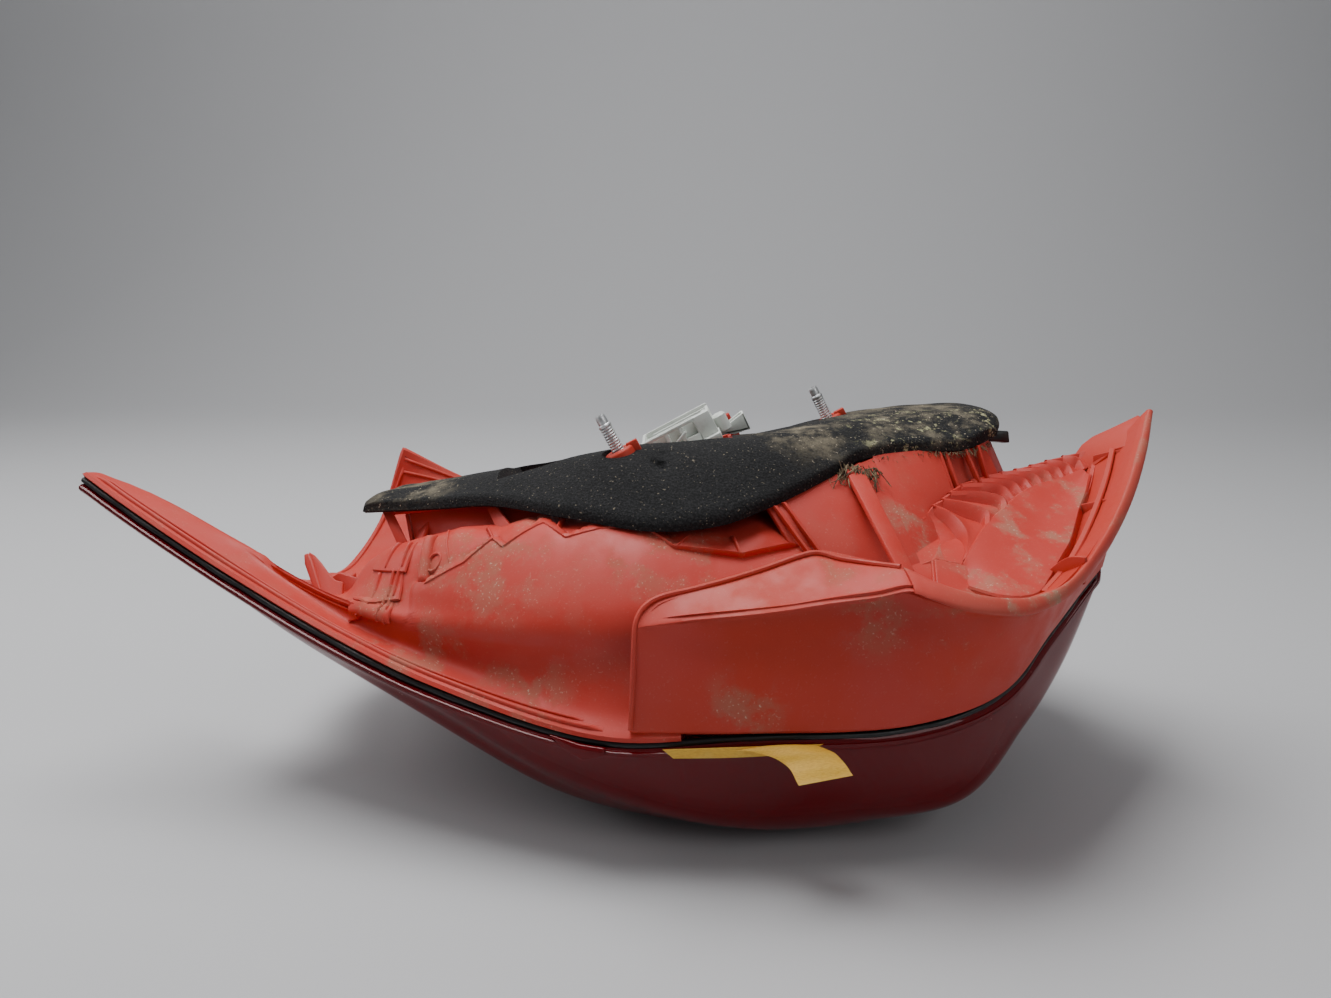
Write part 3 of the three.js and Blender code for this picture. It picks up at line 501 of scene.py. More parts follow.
class Finish:
    """A procedural material: a Principled shader and short calls for the nodes that feed it.

    Sizes and heights are metres. A socket name's underscores stand for spaces.
    """

    def __init__(self, name, colour, roughness, metallic=0.0):
        self.material = bpy.data.materials.new(name)
        self.material.use_nodes = True
        self.nodes = self.material.node_tree.nodes
        self.links = self.material.node_tree.links
        self.shader = self.nodes["Principled BSDF"]
        self.set(Base_Color=(*colour, 1), Roughness=roughness, Metallic=metallic)
        self.places = self.node("TexCoord").outputs["Object"]

    def plug(self, value, socket):
        """Sets a socket to a value, or feeds it from another node's output."""
        if isinstance(value, bpy.types.NodeSocket):
            self.links.new(value, socket)
        else:
            socket.default_value = value

    def node(self, kind, **values):
        node = self.nodes.new(f"ShaderNode{kind}")
        for name, value in values.items():
            self.plug(value, node.inputs[name.replace("_", " ")])
        return node

    def set(self, **values):
        """Sets or feeds the shader's own sockets."""
        for name, value in values.items():
            self.plug(value, self.shader.inputs[name.replace("_", " ")])

    def noise(self, size, detail=4, roughness=0.55, stretch=(1, 1, 1)):
        """Noise whose spots are about size across."""
        mapping = self.node("Mapping", Vector=self.places, Scale=stretch)
        node = self.node("TexNoise", Vector=mapping.outputs["Vector"], Scale=1 / size, Detail=detail,
                         Roughness=roughness)
        return node.outputs["Fac"]

    def cells(self, size):
        """Distance from the middle of the nearest of many small cells."""
        return self.node("TexVoronoi", Vector=self.places, Scale=1 / size).outputs["Distance"]

    def ramp(self, source, low, high, to_low=0.0, to_high=1.0):
        """source from low..high to to_low..to_high, held at the ends."""
        node = self.node("MapRange", Value=source, From_Min=low, From_Max=high, To_Min=to_low, To_Max=to_high)
        node.interpolation_type = "SMOOTHSTEP"
        return node.outputs["Result"]

    def patches(self, size, low, high, to_low=0.0, to_high=1.0, **kind):
        """Soft patches: noise of a size, through a ramp."""
        return self.ramp(self.noise(size, **kind), low, high, to_low, to_high)

    def math(self, operation, first, second):
        node = self.node("Math")
        node.operation = operation
        self.plug(first, node.inputs[0])
        self.plug(second, node.inputs[1])
        return node.outputs["Value"]

    def times(self, first, second):
        return self.math("MULTIPLY", first, second)

    def plus(self, first, second):
        return self.math("ADD", first, second)

    def most(self, masks):
        """The largest of several masks at each point."""
        whole = masks[0]
        for mask in masks[1:]:
            whole = self.math("MAXIMUM", whole, mask)
        return whole

    def near(self, centre, radius):
        """1 at a design point, falling to 0 at a radius in millimetres."""
        node = self.node("VectorMath")
        node.operation = "DISTANCE"
        self.plug(self.places, node.inputs[0])
        self.plug(placed(centre), node.inputs[1])
        return self.ramp(node.outputs["Value"], radius * 0.25 / 1000, radius / 1000, 1, 0)

    def near_any(self, spots):
        return self.most([self.near(*spot) for spot in spots])

    def mix(self, factor, first, second):
        """Two colours or colour sources, mixed by a mask."""
        node = self.node("Mix")
        node.data_type = "RGBA"
        self.plug(factor, node.inputs["Factor"])
        for value, socket in zip((first, second), node.inputs[6:8]):
            self.plug((*value, 1) if isinstance(value, tuple) else value, socket)
        return node.outputs[2]

    def facing_up(self, low, high):
        """1 where the surface faces up, at rest, as dust settles."""
        split = self.node("SeparateXYZ", Vector=self.node("NewGeometry").outputs["Normal"])
        return self.ramp(split.outputs["Z"], low, high)

    def bump(self, source, height, strength=1.0):
        """Feeds the shader's normal from a height source."""
        node = self.node("Bump", Height=source, Distance=height, Strength=strength)
        self.set(Normal=node.outputs["Normal"])


def housing_finish(name, dust_spots, dust_share, colour=(0.50, 0.032, 0.020), strength=0.5):
    """Moulded red plastic, semi-gloss, with dull dusty patches where it has lain in the dirt.

    dust_share is how much of the dust lies outside the spots; strength is how well dust covers the red.
    """
    pale, tan, sand = (0.50, 0.048, 0.034), (0.33, 0.185, 0.125), (0.62, 0.5, 0.38)
    finish = Finish(name, colour, 0.5)
    base = finish.mix(finish.patches(0.06, 0.35, 0.7, detail=3), colour, pale)
    speckle = finish.patches(0.0011, 0.60, 0.72, detail=2)
    film = finish.patches(0.022, 0.47, 0.62, detail=6, roughness=0.65)
    dust = finish.most([finish.times(film, finish.near_any(dust_spots)), finish.times(film, dust_share)])
    dusty = finish.mix(finish.times(dust, strength), base, tan)
    grains = finish.times(speckle, finish.plus(finish.times(dust, 0.5), 0.04))
    worn = finish.patches(0.012, 0.3, 0.75, 0.42, 0.62, detail=5)
    finish.set(Base_Color=finish.mix(grains, dusty, sand))
    finish.set(Roughness=finish.plus(worn, finish.times(dust, 0.4)), Specular_IOR_Level=0.32)
    finish.set(Subsurface_Weight=0.06, Subsurface_Radius=(0.004, 0.001, 0.0006))
    finish.bump(finish.noise(0.0007, detail=3), 0.00006, 0.6)
    return finish.material


def lens_finish():
    """Deep red moulded acrylic, polished, with light scratches and dust."""
    red, tan = (0.22, 0.0015, 0.006), (0.5, 0.4, 0.33)
    dust_spots = [((150, -72, 50), 45), ((-120, -62, 70), 40)]
    finish = Finish("lens_red", red, 0.06)
    scratches = finish.patches(0.004, 0.56, 0.75, detail=8, roughness=0.7, stretch=(1, 4, 7))
    dust = finish.times(finish.patches(0.0016, 0.68, 0.76, detail=3), finish.near_any(dust_spots))
    dull = finish.plus(finish.times(dust, 0.5), 0.045)
    finish.set(Base_Color=finish.mix(finish.times(dust, 0.55), red, tan))
    finish.set(Roughness=finish.plus(finish.times(scratches, 0.10), dull))
    finish.set(IOR=1.49, Transmission_Weight=0.5, Specular_IOR_Level=0.12)
    finish.bump(finish.noise(0.03, detail=2), 0.0003, 0.15)
    return finish.material


def foam_finish():
    """Closed-cell foam: charcoal, fine pores, tan dust and pale lichen on the wing's side."""
    deep, worn, tan = (0.006, 0.006, 0.0065), (0.022, 0.022, 0.023), (0.23, 0.195, 0.135)
    lichen_green, sand = (0.42, 0.40, 0.22), (0.45, 0.38, 0.28)
    dust_spots = [((125, 25, 160), 62), ((62, 0, 158), 36), ((-118, 8, 126), 34), ((-128, 26, 125), 26)]
    lichen_spots = [((112, 12, 160), 40), ((152, 30, 162), 26)]
    finish = Finish("foam_black", (0.010, 0.010, 0.011), 0.9)
    grain = finish.noise(0.0009, detail=4)
    base = finish.mix(finish.ramp(grain, 0.4, 0.7), deep, worn)
    where = finish.near_any(dust_spots)
    film = finish.patches(0.014, 0.42, 0.66, detail=7, roughness=0.7)
    dust = finish.times(film, finish.times(where, finish.facing_up(-0.1, 0.7)))
    dusty = finish.mix(finish.times(dust, 0.75), base, tan)
    crust = finish.patches(0.006, 0.56, 0.63, detail=8, roughness=0.75)
    lichen = finish.times(crust, finish.near_any(lichen_spots))
    mossy = finish.mix(finish.times(lichen, 0.85), dusty, lichen_green)
    specks = finish.patches(0.0012, 0.69, 0.74, detail=1)
    sandy = finish.times(specks, finish.plus(finish.times(where, 0.6), 0.35))
    finish.set(Base_Color=finish.mix(sandy, mossy, sand), Specular_IOR_Level=0.25)
    finish.bump(finish.plus(finish.times(finish.cells(0.0011), 0.5), grain), 0.0005, 0.8)
    return finish.material


def rubber_finish():
    """Black sealing compound, slightly glossy."""
    finish = Finish("seal_black", (0.004, 0.004, 0.004), 0.4)
    finish.set(Roughness=finish.patches(0.004, 0.3, 0.7, 0.28, 0.6))
    finish.bump(finish.noise(0.002, detail=4), 0.0002, 0.6)
    return finish.material


def zinc_finish():
    """Bright zinc plate with a soft cloudy bloom."""
    bright, bloomed = (0.70, 0.71, 0.72), (0.48, 0.48, 0.47)
    finish = Finish("zinc", (0.62, 0.63, 0.64), 0.42, 1.0)
    finish.set(Base_Color=finish.mix(finish.patches(0.0022, 0.35, 0.7, detail=5), bright, bloomed))
    finish.set(Roughness=finish.patches(0.0012, 0.3, 0.7, 0.34, 0.52))
    finish.bump(finish.noise(0.0004, detail=2), 0.00003, 0.5)
    return finish.material


def carrier_finish():
    """Pale grey-white glass-filled nylon with a little grime."""
    clean, grimy = (0.68, 0.71, 0.66), (0.40, 0.40, 0.34)
    finish = Finish("carrier_grey", (0.66, 0.69, 0.64), 0.45)
    grime = finish.patches(0.009, 0.5, 0.75, detail=6, roughness=0.65)
    finish.set(Base_Color=finish.mix(finish.times(grime, 0.45), clean, grimy))
    finish.set(Roughness=finish.patches(0.003, 0.3, 0.7, 0.38, 0.55))
    finish.set(Subsurface_Weight=0.08, Subsurface_Radius=(0.002, 0.002, 0.0018))
    finish.bump(finish.noise(0.0006, detail=2), 0.00004, 0.5)
    return finish.material


def brass_finish():
    """Stamped brass, tarnished in patches."""
    bright, tarnished = (0.58, 0.42, 0.16), (0.34, 0.22, 0.08)
    finish = Finish("brass", (0.52, 0.36, 0.12), 0.3, 1.0)
    finish.set(Base_Color=finish.mix(finish.patches(0.002, 0.4, 0.7, detail=5), bright, tarnished))
    finish.set(Roughness=finish.patches(0.001, 0.3, 0.7, 0.2, 0.42))
    return finish.material


def chrome_finish():
    """Vapour-deposited aluminium on moulded plastic."""
    finish = Finish("reflector_chrome", (0.75, 0.75, 0.76), 0.12, 1.0)
    finish.set(Roughness=finish.patches(0.006, 0.3, 0.7, 0.06, 0.18))
    finish.bump(finish.cells(0.007), 0.0008, 0.35)
    return finish.material


def glass_finish():
    """Clear bulb glass, a little smoky in places."""
    finish = Finish("bulb_glass", (0.95, 0.96, 0.96), 0.02)
    finish.set(IOR=1.46, Transmission_Weight=1.0, Roughness=finish.patches(0.004, 0.4, 0.8, 0.01, 0.08))
    return finish.material


def optic_finish(name, colour):
    """A fluted inner optic."""
    finish = Finish(name, colour, 0.12)
    finish.set(IOR=1.49, Transmission_Weight=0.35, Coat_Weight=0.5)
    finish.set(Roughness=finish.patches(0.005, 0.3, 0.7, 0.08, 0.2))
    return finish.material


def tape_finish():
    """Crepe marking tape, yellow, paler in blotches."""
    yellow, shaded, faded = (0.86, 0.50, 0.045), (0.72, 0.36, 0.02), (0.84, 0.60, 0.16)
    finish = Finish("tape_yellow", (0.80, 0.44, 0.03), 0.55)
    fibres = finish.noise(0.0016, detail=5, stretch=(1, 5, 5))
    paper = finish.mix(finish.ramp(fibres, 0.35, 0.7), yellow, shaded)
    blotch = finish.times(finish.patches(0.012, 0.5, 0.75, detail=4), 0.35)
    finish.set(Base_Color=finish.mix(blotch, paper, faded), Subsurface_Weight=0.1)
    finish.bump(fibres, 0.0002, 0.7)
    return finish.material


def root_finish():
    """Dry roots and crumbs of soil."""
    soil, straw = (0.055, 0.036, 0.020), (0.26, 0.19, 0.11)
    finish = Finish("dry_roots", (0.12, 0.08, 0.045), 0.95)
    finish.set(Base_Color=finish.mix(finish.patches(0.004, 0.35, 0.65, detail=5), soil, straw))
    finish.bump(finish.noise(0.0012, detail=4), 0.0006, 0.9)
    return finish.material


BOWL_DUST = [((-72, -54, 114), 46), ((-10, -62, 112), 34), ((-115, -48, 100), 34), ((20, -70, 108), 40)]
ARM_DUST = [((-105, -76, 72), 42), ((-60, -88, 66), 34), ((-128, -64, 80), 24)]
PANEL_DUST = [((64, -88, 123), 20), ((120, -110, 114), 44), ((30, -106, 70), 22), ((80, -106, 108), 26)]
POCKET_DUST = [((165, -38, 118), 42), ((185, -8, 130), 30), ((140, -60, 108), 30), ((110, -40, 125), 26)]

bowl_red = housing_finish("housing_red_bowl", BOWL_DUST + ARM_DUST, 0.22)
panel_red = housing_finish("housing_red_panel", PANEL_DUST, 0.03, (0.50, 0.040, 0.020))
pocket_red = housing_finish("housing_red_pocket", POCKET_DUST, 0.12, (0.50, 0.040, 0.028), 0.7)
worn_red = housing_finish("housing_red_worn", [((135, -104, 114), 90)], 0.4, (0.46, 0.075, 0.050), 0.95)
lens_red = lens_finish()
foam_black = foam_finish()
seal_black = rubber_finish()
zinc = zinc_finish()
carrier_grey = carrier_finish()
brass = brass_finish()
reflector_chrome = chrome_finish()
bulb_glass = glass_finish()
optic_clear = optic_finish("optic_clear", (0.85, 0.86, 0.86))
optic_red = optic_finish("optic_red", (0.45, 0.006, 0.014))
tape_yellow = tape_finish()
dry_roots = root_finish()


# ---- surfaces ----------------------------------------------------------------------------------------------

lens_grid = loft(shell_guides(LENS_MIDDLES, -RIM_GAP), 240, 14)
bowl_grid = loft(shell_guides(HOUSING_MIDDLES, RIM_GAP), 320, 18)
bowl_skin = offset(bowl_grid, HOUSING_WALL)
bowl_normals = normals(bowl_grid)
deck_grid = loft(DECK_GUIDES, 160, 30)

UPWARDS = [0, 0, 1.0]
RIDGE_ROOT = 1.2
RIDGE_END_SHARE = 0.15


def on_bowl(points):
    """Points dropped onto the bowl's outer skin along its normals, and the normals there."""
    skin, facing = bowl_skin.reshape(-1, 3), bowl_normals.reshape(-1, 3)
    found, ups = [], []
    for point in np.asarray(points, float):
        nearest = np.argmin(((skin - point) ** 2).sum(axis=1))
        up = facing[nearest]
        found.append(point - up * np.dot(point - skin[nearest], up))
        ups.append(up)
    return np.array(found), np.array(ups)


def ridge(points, width, height, count=24, straight=False, taper=0.15):
    """A raised rounded ridge that follows the bowl through the given points, sinking at its ends."""
    path, up = on_bowl((chain if straight else line)(points, count))
    side = unit(np.cross(np.gradient(path, axis=0), up))
    places = np.linspace(0, 1, count)
    swell = np.clip(np.minimum(places, 1 - places) / taper, RIDGE_END_SHARE, 1)
    arc = [(-math.cos(a) * width / 2, math.sin(a) * height) for a in np.linspace(0, np.pi, 7)]
    section = [(-width / 2, -RIDGE_ROOT), *arc, (width / 2, -RIDGE_ROOT)]
    return swept(path, section, side, up * swell[:, None])


def inset_line(distance, start, stop, count):
    """Points at a distance in from the bowl's near rim, between two shares of its length."""
    chosen = []
    for place in np.linspace(start, stop, count):
        row = bowl_skin[int(round(place * (len(bowl_skin) - 1)))]
        lengths = np.concatenate([[0], np.cumsum(np.linalg.norm(np.diff(row, axis=0), axis=1))])
        chosen.append([np.interp(distance, lengths, row[:, k]) for k in range(3)])
    return np.array(chosen)


# ---- lens and seal -----------------------------------------------------------------------------------------

LIP_DROP = -1.5
LIP_SECTION = [(-3.4, 1.2), (1.9, 1.3), (2.9, 0.7), (3.1, -0.6), (2.5, -1.7), (-3.4, -2.6)]
CORNER_TONGUE = [
    (-46, -98, 57), (-33, -103, 55), (-23, -105.5, 54.5), (-24, -106, 51), (-32, -105, 49), (-40, -101, 52),
]


def rim_path(height):
    """The joint's middle line, once round, and its sideways directions, pointing out of the lamp."""
    loop = loop_of(lens_grid[::2, ::2])
    along = np.roll(loop, -1, axis=0) - np.roll(loop, 1, axis=0)
    along[:, 2] = 0
    along = unit(along)
    side = np.stack([along[:, 1], -along[:, 0], 0 * along[:, 0]], axis=1)
    if np.sum(side * (loop - loop.mean(axis=0))) < 0:
        side = -side
    return loop + [0, 0, height], side


def seal_bead():
    """The sealing compound, squeezed slightly uneven."""
    path, side = rim_path(RIM_GAP)
    steps = np.arange(len(path))
    wander = 0.25 * np.sin(steps * 0.9) * np.sin(steps * 0.23)
    section = ellipse(12, BEAD_HALF_WIDTH, BEAD_HALF_HEIGHT * 1.2)
    return swept(path + side * wander[:, None], section, side, UPWARDS, closed=True)


def lens_lip():
    """The lens's polished edge, a rounded ledge under the seal."""
    path, side = rim_path(LIP_DROP)
    return swept(path, LIP_SECTION, side, UPWARDS, closed=True)


def lens_corner_tongue():
    """The clear tongue at the corner where the two flanges meet."""
    return rounded_plate(CORNER_TONGUE, 2.4, 0.9, 3)


lens_shell = sheet(lens_grid, -LENS_WALL, rounding=0.5)
make("lens", lens_shell, lens_red, crease=50, stands_for="outer_lens")
make("lens_lip", [lens_lip(), lens_corner_tongue()], lens_red, crease=35)
make("seal_bead", seal_bead(), seal_black, crease=60, stands_for="lens_seal")


# ---- inner optics ------------------------------------------------------------------------------------------

OPTIC_WALL = 1.6
# Rows and columns of the lens that an optic lies behind, how deep it lies, the pitch and depth of its flutes,
# whether they run across the lamp, its finish, its slot, and the CAD node that it replaces.
INNER_OPTICS = {
    "brake_optic_flutes": (64, 131, 21, 57, 5, 7, 0.9, False, optic_red, "optic_red", "brake_light_optic"),
    "indicator_optic_flutes": (139, 186, 21, 57, 5, 6, 0.9, False, optic_clear, "optic_clear",
                               "indicator_optic"),
    "reflex_optic_flutes": (84, 158, 70, 92, 5, 5, 0.9, True, optic_red, "optic_red", "reflex_reflector"),
    "side_optic_flutes": (176, 222, 10, 26, 3.2, 5.5, 0.9, False, optic_red, "optic_red", None),
    "lower_edge_flutes": (60, 190, 15, 21, 3.2, 4.5, 0.8, False, optic_red, "optic_red", None),
}


def fluted(patch, pitch, depth, across):
    """A plate over a patch of grid, with rounded flutes along or across it."""
    axis = 1 if across else 0
    step = np.linalg.norm(np.diff(patch, axis=axis), axis=2).mean()
    wave = depth * np.abs(np.sin(np.pi * np.arange(patch.shape[axis]) * step / pitch))
    height = np.broadcast_to(wave if across else wave[:, None], patch.shape[:2])
    return sheet(offset(patch, height), OPTIC_WALL)


for optic_name, values in INNER_OPTICS.items():
    first, last, low, high, inset, pitch, depth, across, material, slot, node = values
    patch = offset(lens_grid, inset)[first:last, low:high]
    make(optic_name, fluted(patch, pitch, depth, across), material, stands_for=node)


# ---- housing bowl ------------------------------------------------------------------------------------------

# The raised lower skin of the bowl ends in a zigzag edge; above it the bowl's back breaks into facets.
ZIGZAG = [
    (-104, -52, 101), (-84, -53, 112), (-72.5, -48.5, 120.5), (-67.5, -53, 118), (-51.5, -46.5, 126.5),
    (-41, -56.5, 123), (-27, -55, 127), (-10, -56, 131), (3.5, -64, 121.5), (31, -65, 119), (56, -56, 122),
]
FACET_EDGES = [-106, -90, -72, -60, -42, -24, -6, 8, 24, 40, 62]
SKIN_RAISE = 2.3
FACET_DEPTH = 2.6
RAISE_BLUR = 0.7


def zigzag_height(x):
    """The zigzag edge's height over the bench side at each place along the lamp."""
    return np.interp(x, [p[0] for p in ZIGZAG], [p[2] for p in ZIGZAG])


def bowl_relief(grid):
    """How far the bowl's skin stands out: a raised lower skin, and facets above its zigzag edge."""
    x, y, z = grid[..., 0], grid[..., 1], grid[..., 2]
    front = np.clip((-20 - y) / 12, 0, 1)
    inside = np.clip((x + 108) / 3, 0, 1) * np.clip((66 - x) / 3, 0, 1)
    lower = np.clip((zigzag_height(x) - z) / RAISE_BLUR + 0.5, 0, 1)
    raise_by = SKIN_RAISE * lower * np.clip((z - 84) / 16, 0, 1) * np.clip((20 - x) / 30, 0, 1)
    edges = np.array(FACET_EDGES)
    facet = np.clip(np.searchsorted(edges, x) - 1, 0, len(edges) - 2)
    share = (x - edges[facet]) / (edges[facet + 1] - edges[facet])
    tilt = FACET_DEPTH * (share - 0.5) * np.where(facet % 2 == 0, 1, -1)
    return front * inside * (raise_by + tilt * (1 - lower))


def well(grow, bottom=-CUT_REACH, top=CUT_REACH):
    """The space of the carrier's well, grown sideways, from a bottom to a top along the draw direction."""
    half_length = CARRIER_LENGTH / 2 + WELL_MARGIN + grow
    half_width = CARRIER_WIDTH / 2 + WELL_MARGIN + grow
    space = bar((-half_length, -half_width, bottom), (half_length, half_width, top))
    return on_draw_axis(space, CARRIER_ORIGIN)


def arm_ridges():
    """Thin ridges: two beside the seal on the long arm and flange, two by the far rim, one in the notch."""
    ridges = [
        ridge(inset_line(2.8, 0.005, 0.515, 120), 2.0, 1.4, 260, taper=0.02),
        ridge(inset_line(5.4, 0.012, 0.50, 120), 1.2, 1.0, 260, taper=0.02),
    ]
    for column in (-3, -6):
        ridges.append(ridge(bowl_skin[2:120:8, column], 1.9, 1.3, 90, taper=0.03))
    ridges.append(ridge(bowl_skin[3, 92:-4:6], 1.9, 1.3, 60, taper=0.05))
    return ridges


def zigzag_edge():
    """The thin rolled edge along the raised skin."""
    return ridge(ZIGZAG, 1.5, SKIN_RAISE + 0.5, 180, straight=True, taper=0.02)


def bowl_ribs():
    """The upright rounded rib and its collar, left of the zigzag."""
    upright = ridge([(-103.5, -31, 119), (-103.4, -42, 112), (-103.2, -52, 102)], 5.2, 2.6, 26, taper=0.12)
    foot = ridge([(-106, -51, 100.5), (-103, -54, 99.5), (-97, -54, 101.5)], 1.6, 1.6, 16, taper=0.2)
    lines = [
        [(-72.5, -48.5, 120.5), (-78, -38, 126)], [(-46, -50, 126), (-44, -40, 130)],
        [(3.5, -64, 121.5), (10, -59, 128)], [(31, -65, 119), (28, -56, 127)],
        [(-90, -50, 109), (-96, -30, 121)],
    ]
    return [upright, foot] + [ridge(points, 1.4, 1.5, 12, taper=0.1) for points in lines]


def dimple():
    """A moulded ring by the upright rib."""
    centre, up = on_bowl([(-98, -44, 109)])
    side = unit(np.cross(up[0], UPWARDS))
    over = np.cross(up[0], side)
    path = centre[0] + ellipse(28, 3.2, 4.2) @ np.array([side, over])
    section = [(-0.7, -0.6), (-0.5, 0.6), (0, 0.85), (0.5, 0.6), (0.7, -0.6)]
    return swept(path, section, unit(path - centre[0]), up[0], closed=True)


# Each row of tiles: the curve along its foot and the curve along its head.
TILE_ROWS = [
    ([(-138, -47, 86), (-131, -51, 87.5), (-117, -55, 88)],
     [(-138, -40, 94), (-130, -45, 95), (-117, -48, 96)]),
    ([(-137, -40, 93), (-129, -46, 94.5), (-114, -51, 96)],
     [(-133, -27, 103), (-126, -32, 104), (-113, -38, 106)]),
    ([(-131, -28, 102), (-123, -35, 103.5), (-112, -42, 105)],
     [(-127, -13, 110), (-119, -22, 113), (-109, -31, 114)]),
]
TILE_RIBS = [
    [(-134.6, -49, 86), (-131.7, -44.5, 94.6)], [(-123, -53, 87.5), (-121, -46.5, 95.5)],
    [(-119, -54, 87), (-118.2, -47.5, 95.5)],
    [(-129.5, -45, 95), (-126.5, -33, 103)], [(-120, -48, 95.5), (-117.5, -36.5, 105)],
    [(-117, -49, 96), (-115, -38.5, 106)],
    [(-123.5, -34.6, 104), (-118.5, -24, 112.6)], [(-114, -40, 106), (-111.5, -30, 114)],
]
TILE_RAISE = 1.5
TILE_HEAD_RAISE = 0.3
TILE_WALL = 1.4
TILE_STATIONS = 13
TILE_STEPS = 9


def bowl_tiles():
    """Rows of stepped tiles at the bowl's left end, each row's foot standing out, with thin slanting ribs."""
    share = np.linspace(0, 1, TILE_STEPS)[None, :, None]
    raised = np.tile(np.linspace(TILE_RAISE, TILE_HEAD_RAISE, TILE_STEPS), TILE_STATIONS)[:, None]
    tiles = []
    for foot, head in TILE_ROWS:
        low, high = line(foot, TILE_STATIONS), line(head, TILE_STATIONS)
        grid = low[:, None] * (1 - share) + high[:, None] * share
        flat, up = on_bowl(grid.reshape(-1, 3))
        tiles.append(sheet((flat + up * (raised - TILE_WALL)).reshape(grid.shape), TILE_WALL, rounding=0.35))
    return tiles + [ridge(points, 1.4, TILE_RAISE + 0.5, 14, taper=0.06) for points in TILE_RIBS]


bowl_shell = sheet(offset(bowl_grid, bowl_relief(bowl_grid)), HOUSING_WALL, rounding=0.5)
bowl_piece = raw_piece("housing_bowl", bowl_shell)
panel_room = bar((6, -140, 20), (166, -66, 104))
pocket_room = bar((140, -72, 100), (206, -6, 136))
carve(bowl_piece, [well(0, bottom=-70), panel_room, pocket_room])
finish_piece(bowl_piece, bowl_red)
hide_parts("rear_housing")
make("housing_arm_ridges", arm_ridges(), bowl_red, crease=60)
make("housing_zigzag", [zigzag_edge(), dimple(), *bowl_ribs()], bowl_red, crease=60)
make("housing_tiles", bowl_tiles(), bowl_red, crease=40)


# ---- side panel, wing and pocket ---------------------------------------------------------------------------

PANEL_ACROSS = 8
PANEL_BORDER = [
    (-13.5, -105.6, 62), (-12.5, -104.6, 84), (-12, -102.9, 97), (-11.3, -100.4, 104), (-8.5, -97.2, 108.6),
    (-3, -94.4, 111.6), (10, -91.8, 114.2), (23.5, -89.3, 117.1), (36, -87.3, 120.4), (55, -82.8, 125.7),
    (59.5, -82.3, 126.2), (68, -84.3, 124.4), (77, -87.3, 123.8), (89, -96, 124.6),
]
# Where the lip starts, as a share of the panel's length.
LIP_START = 0.418
LIP_POINTS = 360


def side_panel():
    """The panel over the lamp's side: flat face, overhanging crease, rolled lip and the channel behind it."""
    grid = loft(PANEL_GUIDES, 300, PANEL_ACROSS, smooth=False, sample=along_x)
    flat = PANEL_ACROSS * (PANEL_CREASE_ROW - 1) - 2
    grid[:, :flat] = soften(grid[:, :flat], 40)
    return sheet(soften(grid, 1), -HOUSING_WALL, rounding=0.5)


def panel_border():
    """The thin raised edge up the panel's left side, round its corner and along its top."""
    path = line(PANEL_BORDER, 140)
    along = np.gradient(path, axis=0)
    side = unit(np.cross(along, [0, -1.0, 0.25]))
    up = unit(np.cross(side, along))
    up = np.where((up[:, 1] < 0)[:, None], up, -up)
    section = [(-1.0, -1.4), (-0.9, 0.4), (-0.4, 0.8), (0.4, 0.8), (0.9, 0.4), (1.0, -1.4)]
    return swept(path, section, side, up)


def wing_lip():
    """The thick worn lip that runs round the wing, from the panel's corner to the wing's tip."""
    first = int(LIP_START * LIP_POINTS)
    top = along_x(PANEL_GUIDES[PANEL_LIP_ROW], LIP_POINTS)[first:]
    low = along_x(PANEL_GUIDES[PANEL_CREASE_ROW], LIP_POINTS)[first:]
    middle = (top + low) / 2
    up = (top - low) / 2
    side = unit(np.cross(np.gradient(middle, axis=0), up))
    return swept(middle, ellipse(16, 1.5, 1.06), side, up)


def band(first, second, third, across):
    """A grid through three lines of thirty points."""
    return loft([first[::3], second[::3], third[::3]], 90, across)


PANEL_EDGE = [
    (124, -70, 107), (136, -79, 106), (153, -72, 106), (162, -58, 111), (173, -44, 116), (191, -12, 128),
    (200, 2, 134), (208, 17, 142),
]
STEP_TIPS = [
    (125, -56, 113), (143, -30, 124), (153, -20, 128), (161, -10, 130.5), (174, 1, 134), (189, 10, 135.5),
    (200, 16, 137.5), (209, 21, 142),
]

CHANNEL_RIBS = [
    [(208, 18, 146.5), (212, 13, 149), (215.5, 8, 151), (219.5, 1, 153)],
    [(190, -11, 128.5), (194, -16, 131), (198, -22, 134), (201, -29, 135.5)],
    [(161, -59, 112.5), (164, -62, 117), (166.5, -66, 120), (170, -72, 121.5)],
]
CHANNEL_STEP = [(153, -74, 107), (170, -56, 115), (187, -33, 126.5), (203, -8, 140), (213, 10, 150.5)]
WING_LEAF = [
    (202, 33, 138), (209, 33, 148), (214, 34, 152.5), (225, 28, 159.5), (230, 22, 165), (229, 14, 163),
    (221, 3, 154), (215, 9, 150), (207, 17, 139),
]


def inner_panel():
    """The smooth dished face between the steps and the wing's channel."""
    tips = line(STEP_TIPS, 30)
    edge = line(PANEL_EDGE, 30)
    middle = (tips + edge) / 2 + [0.4, 0.6, -0.8]
    return sheet(band(tips, middle, edge, 12), -1.8, rounding=0.5)


def panel_skirt():
    """The down-turned edge along the channel."""
    edge = line(PANEL_EDGE, 60)
    down = unit(np.array([0.18, -0.25, -1.0]))
    side = unit(np.cross(np.gradient(edge, axis=0), down))
    section = [(-0.9, -0.4), (0.9, -0.4), (0.9, 10), (-0.9, 10)]
    return swept(edge, section, side, down)


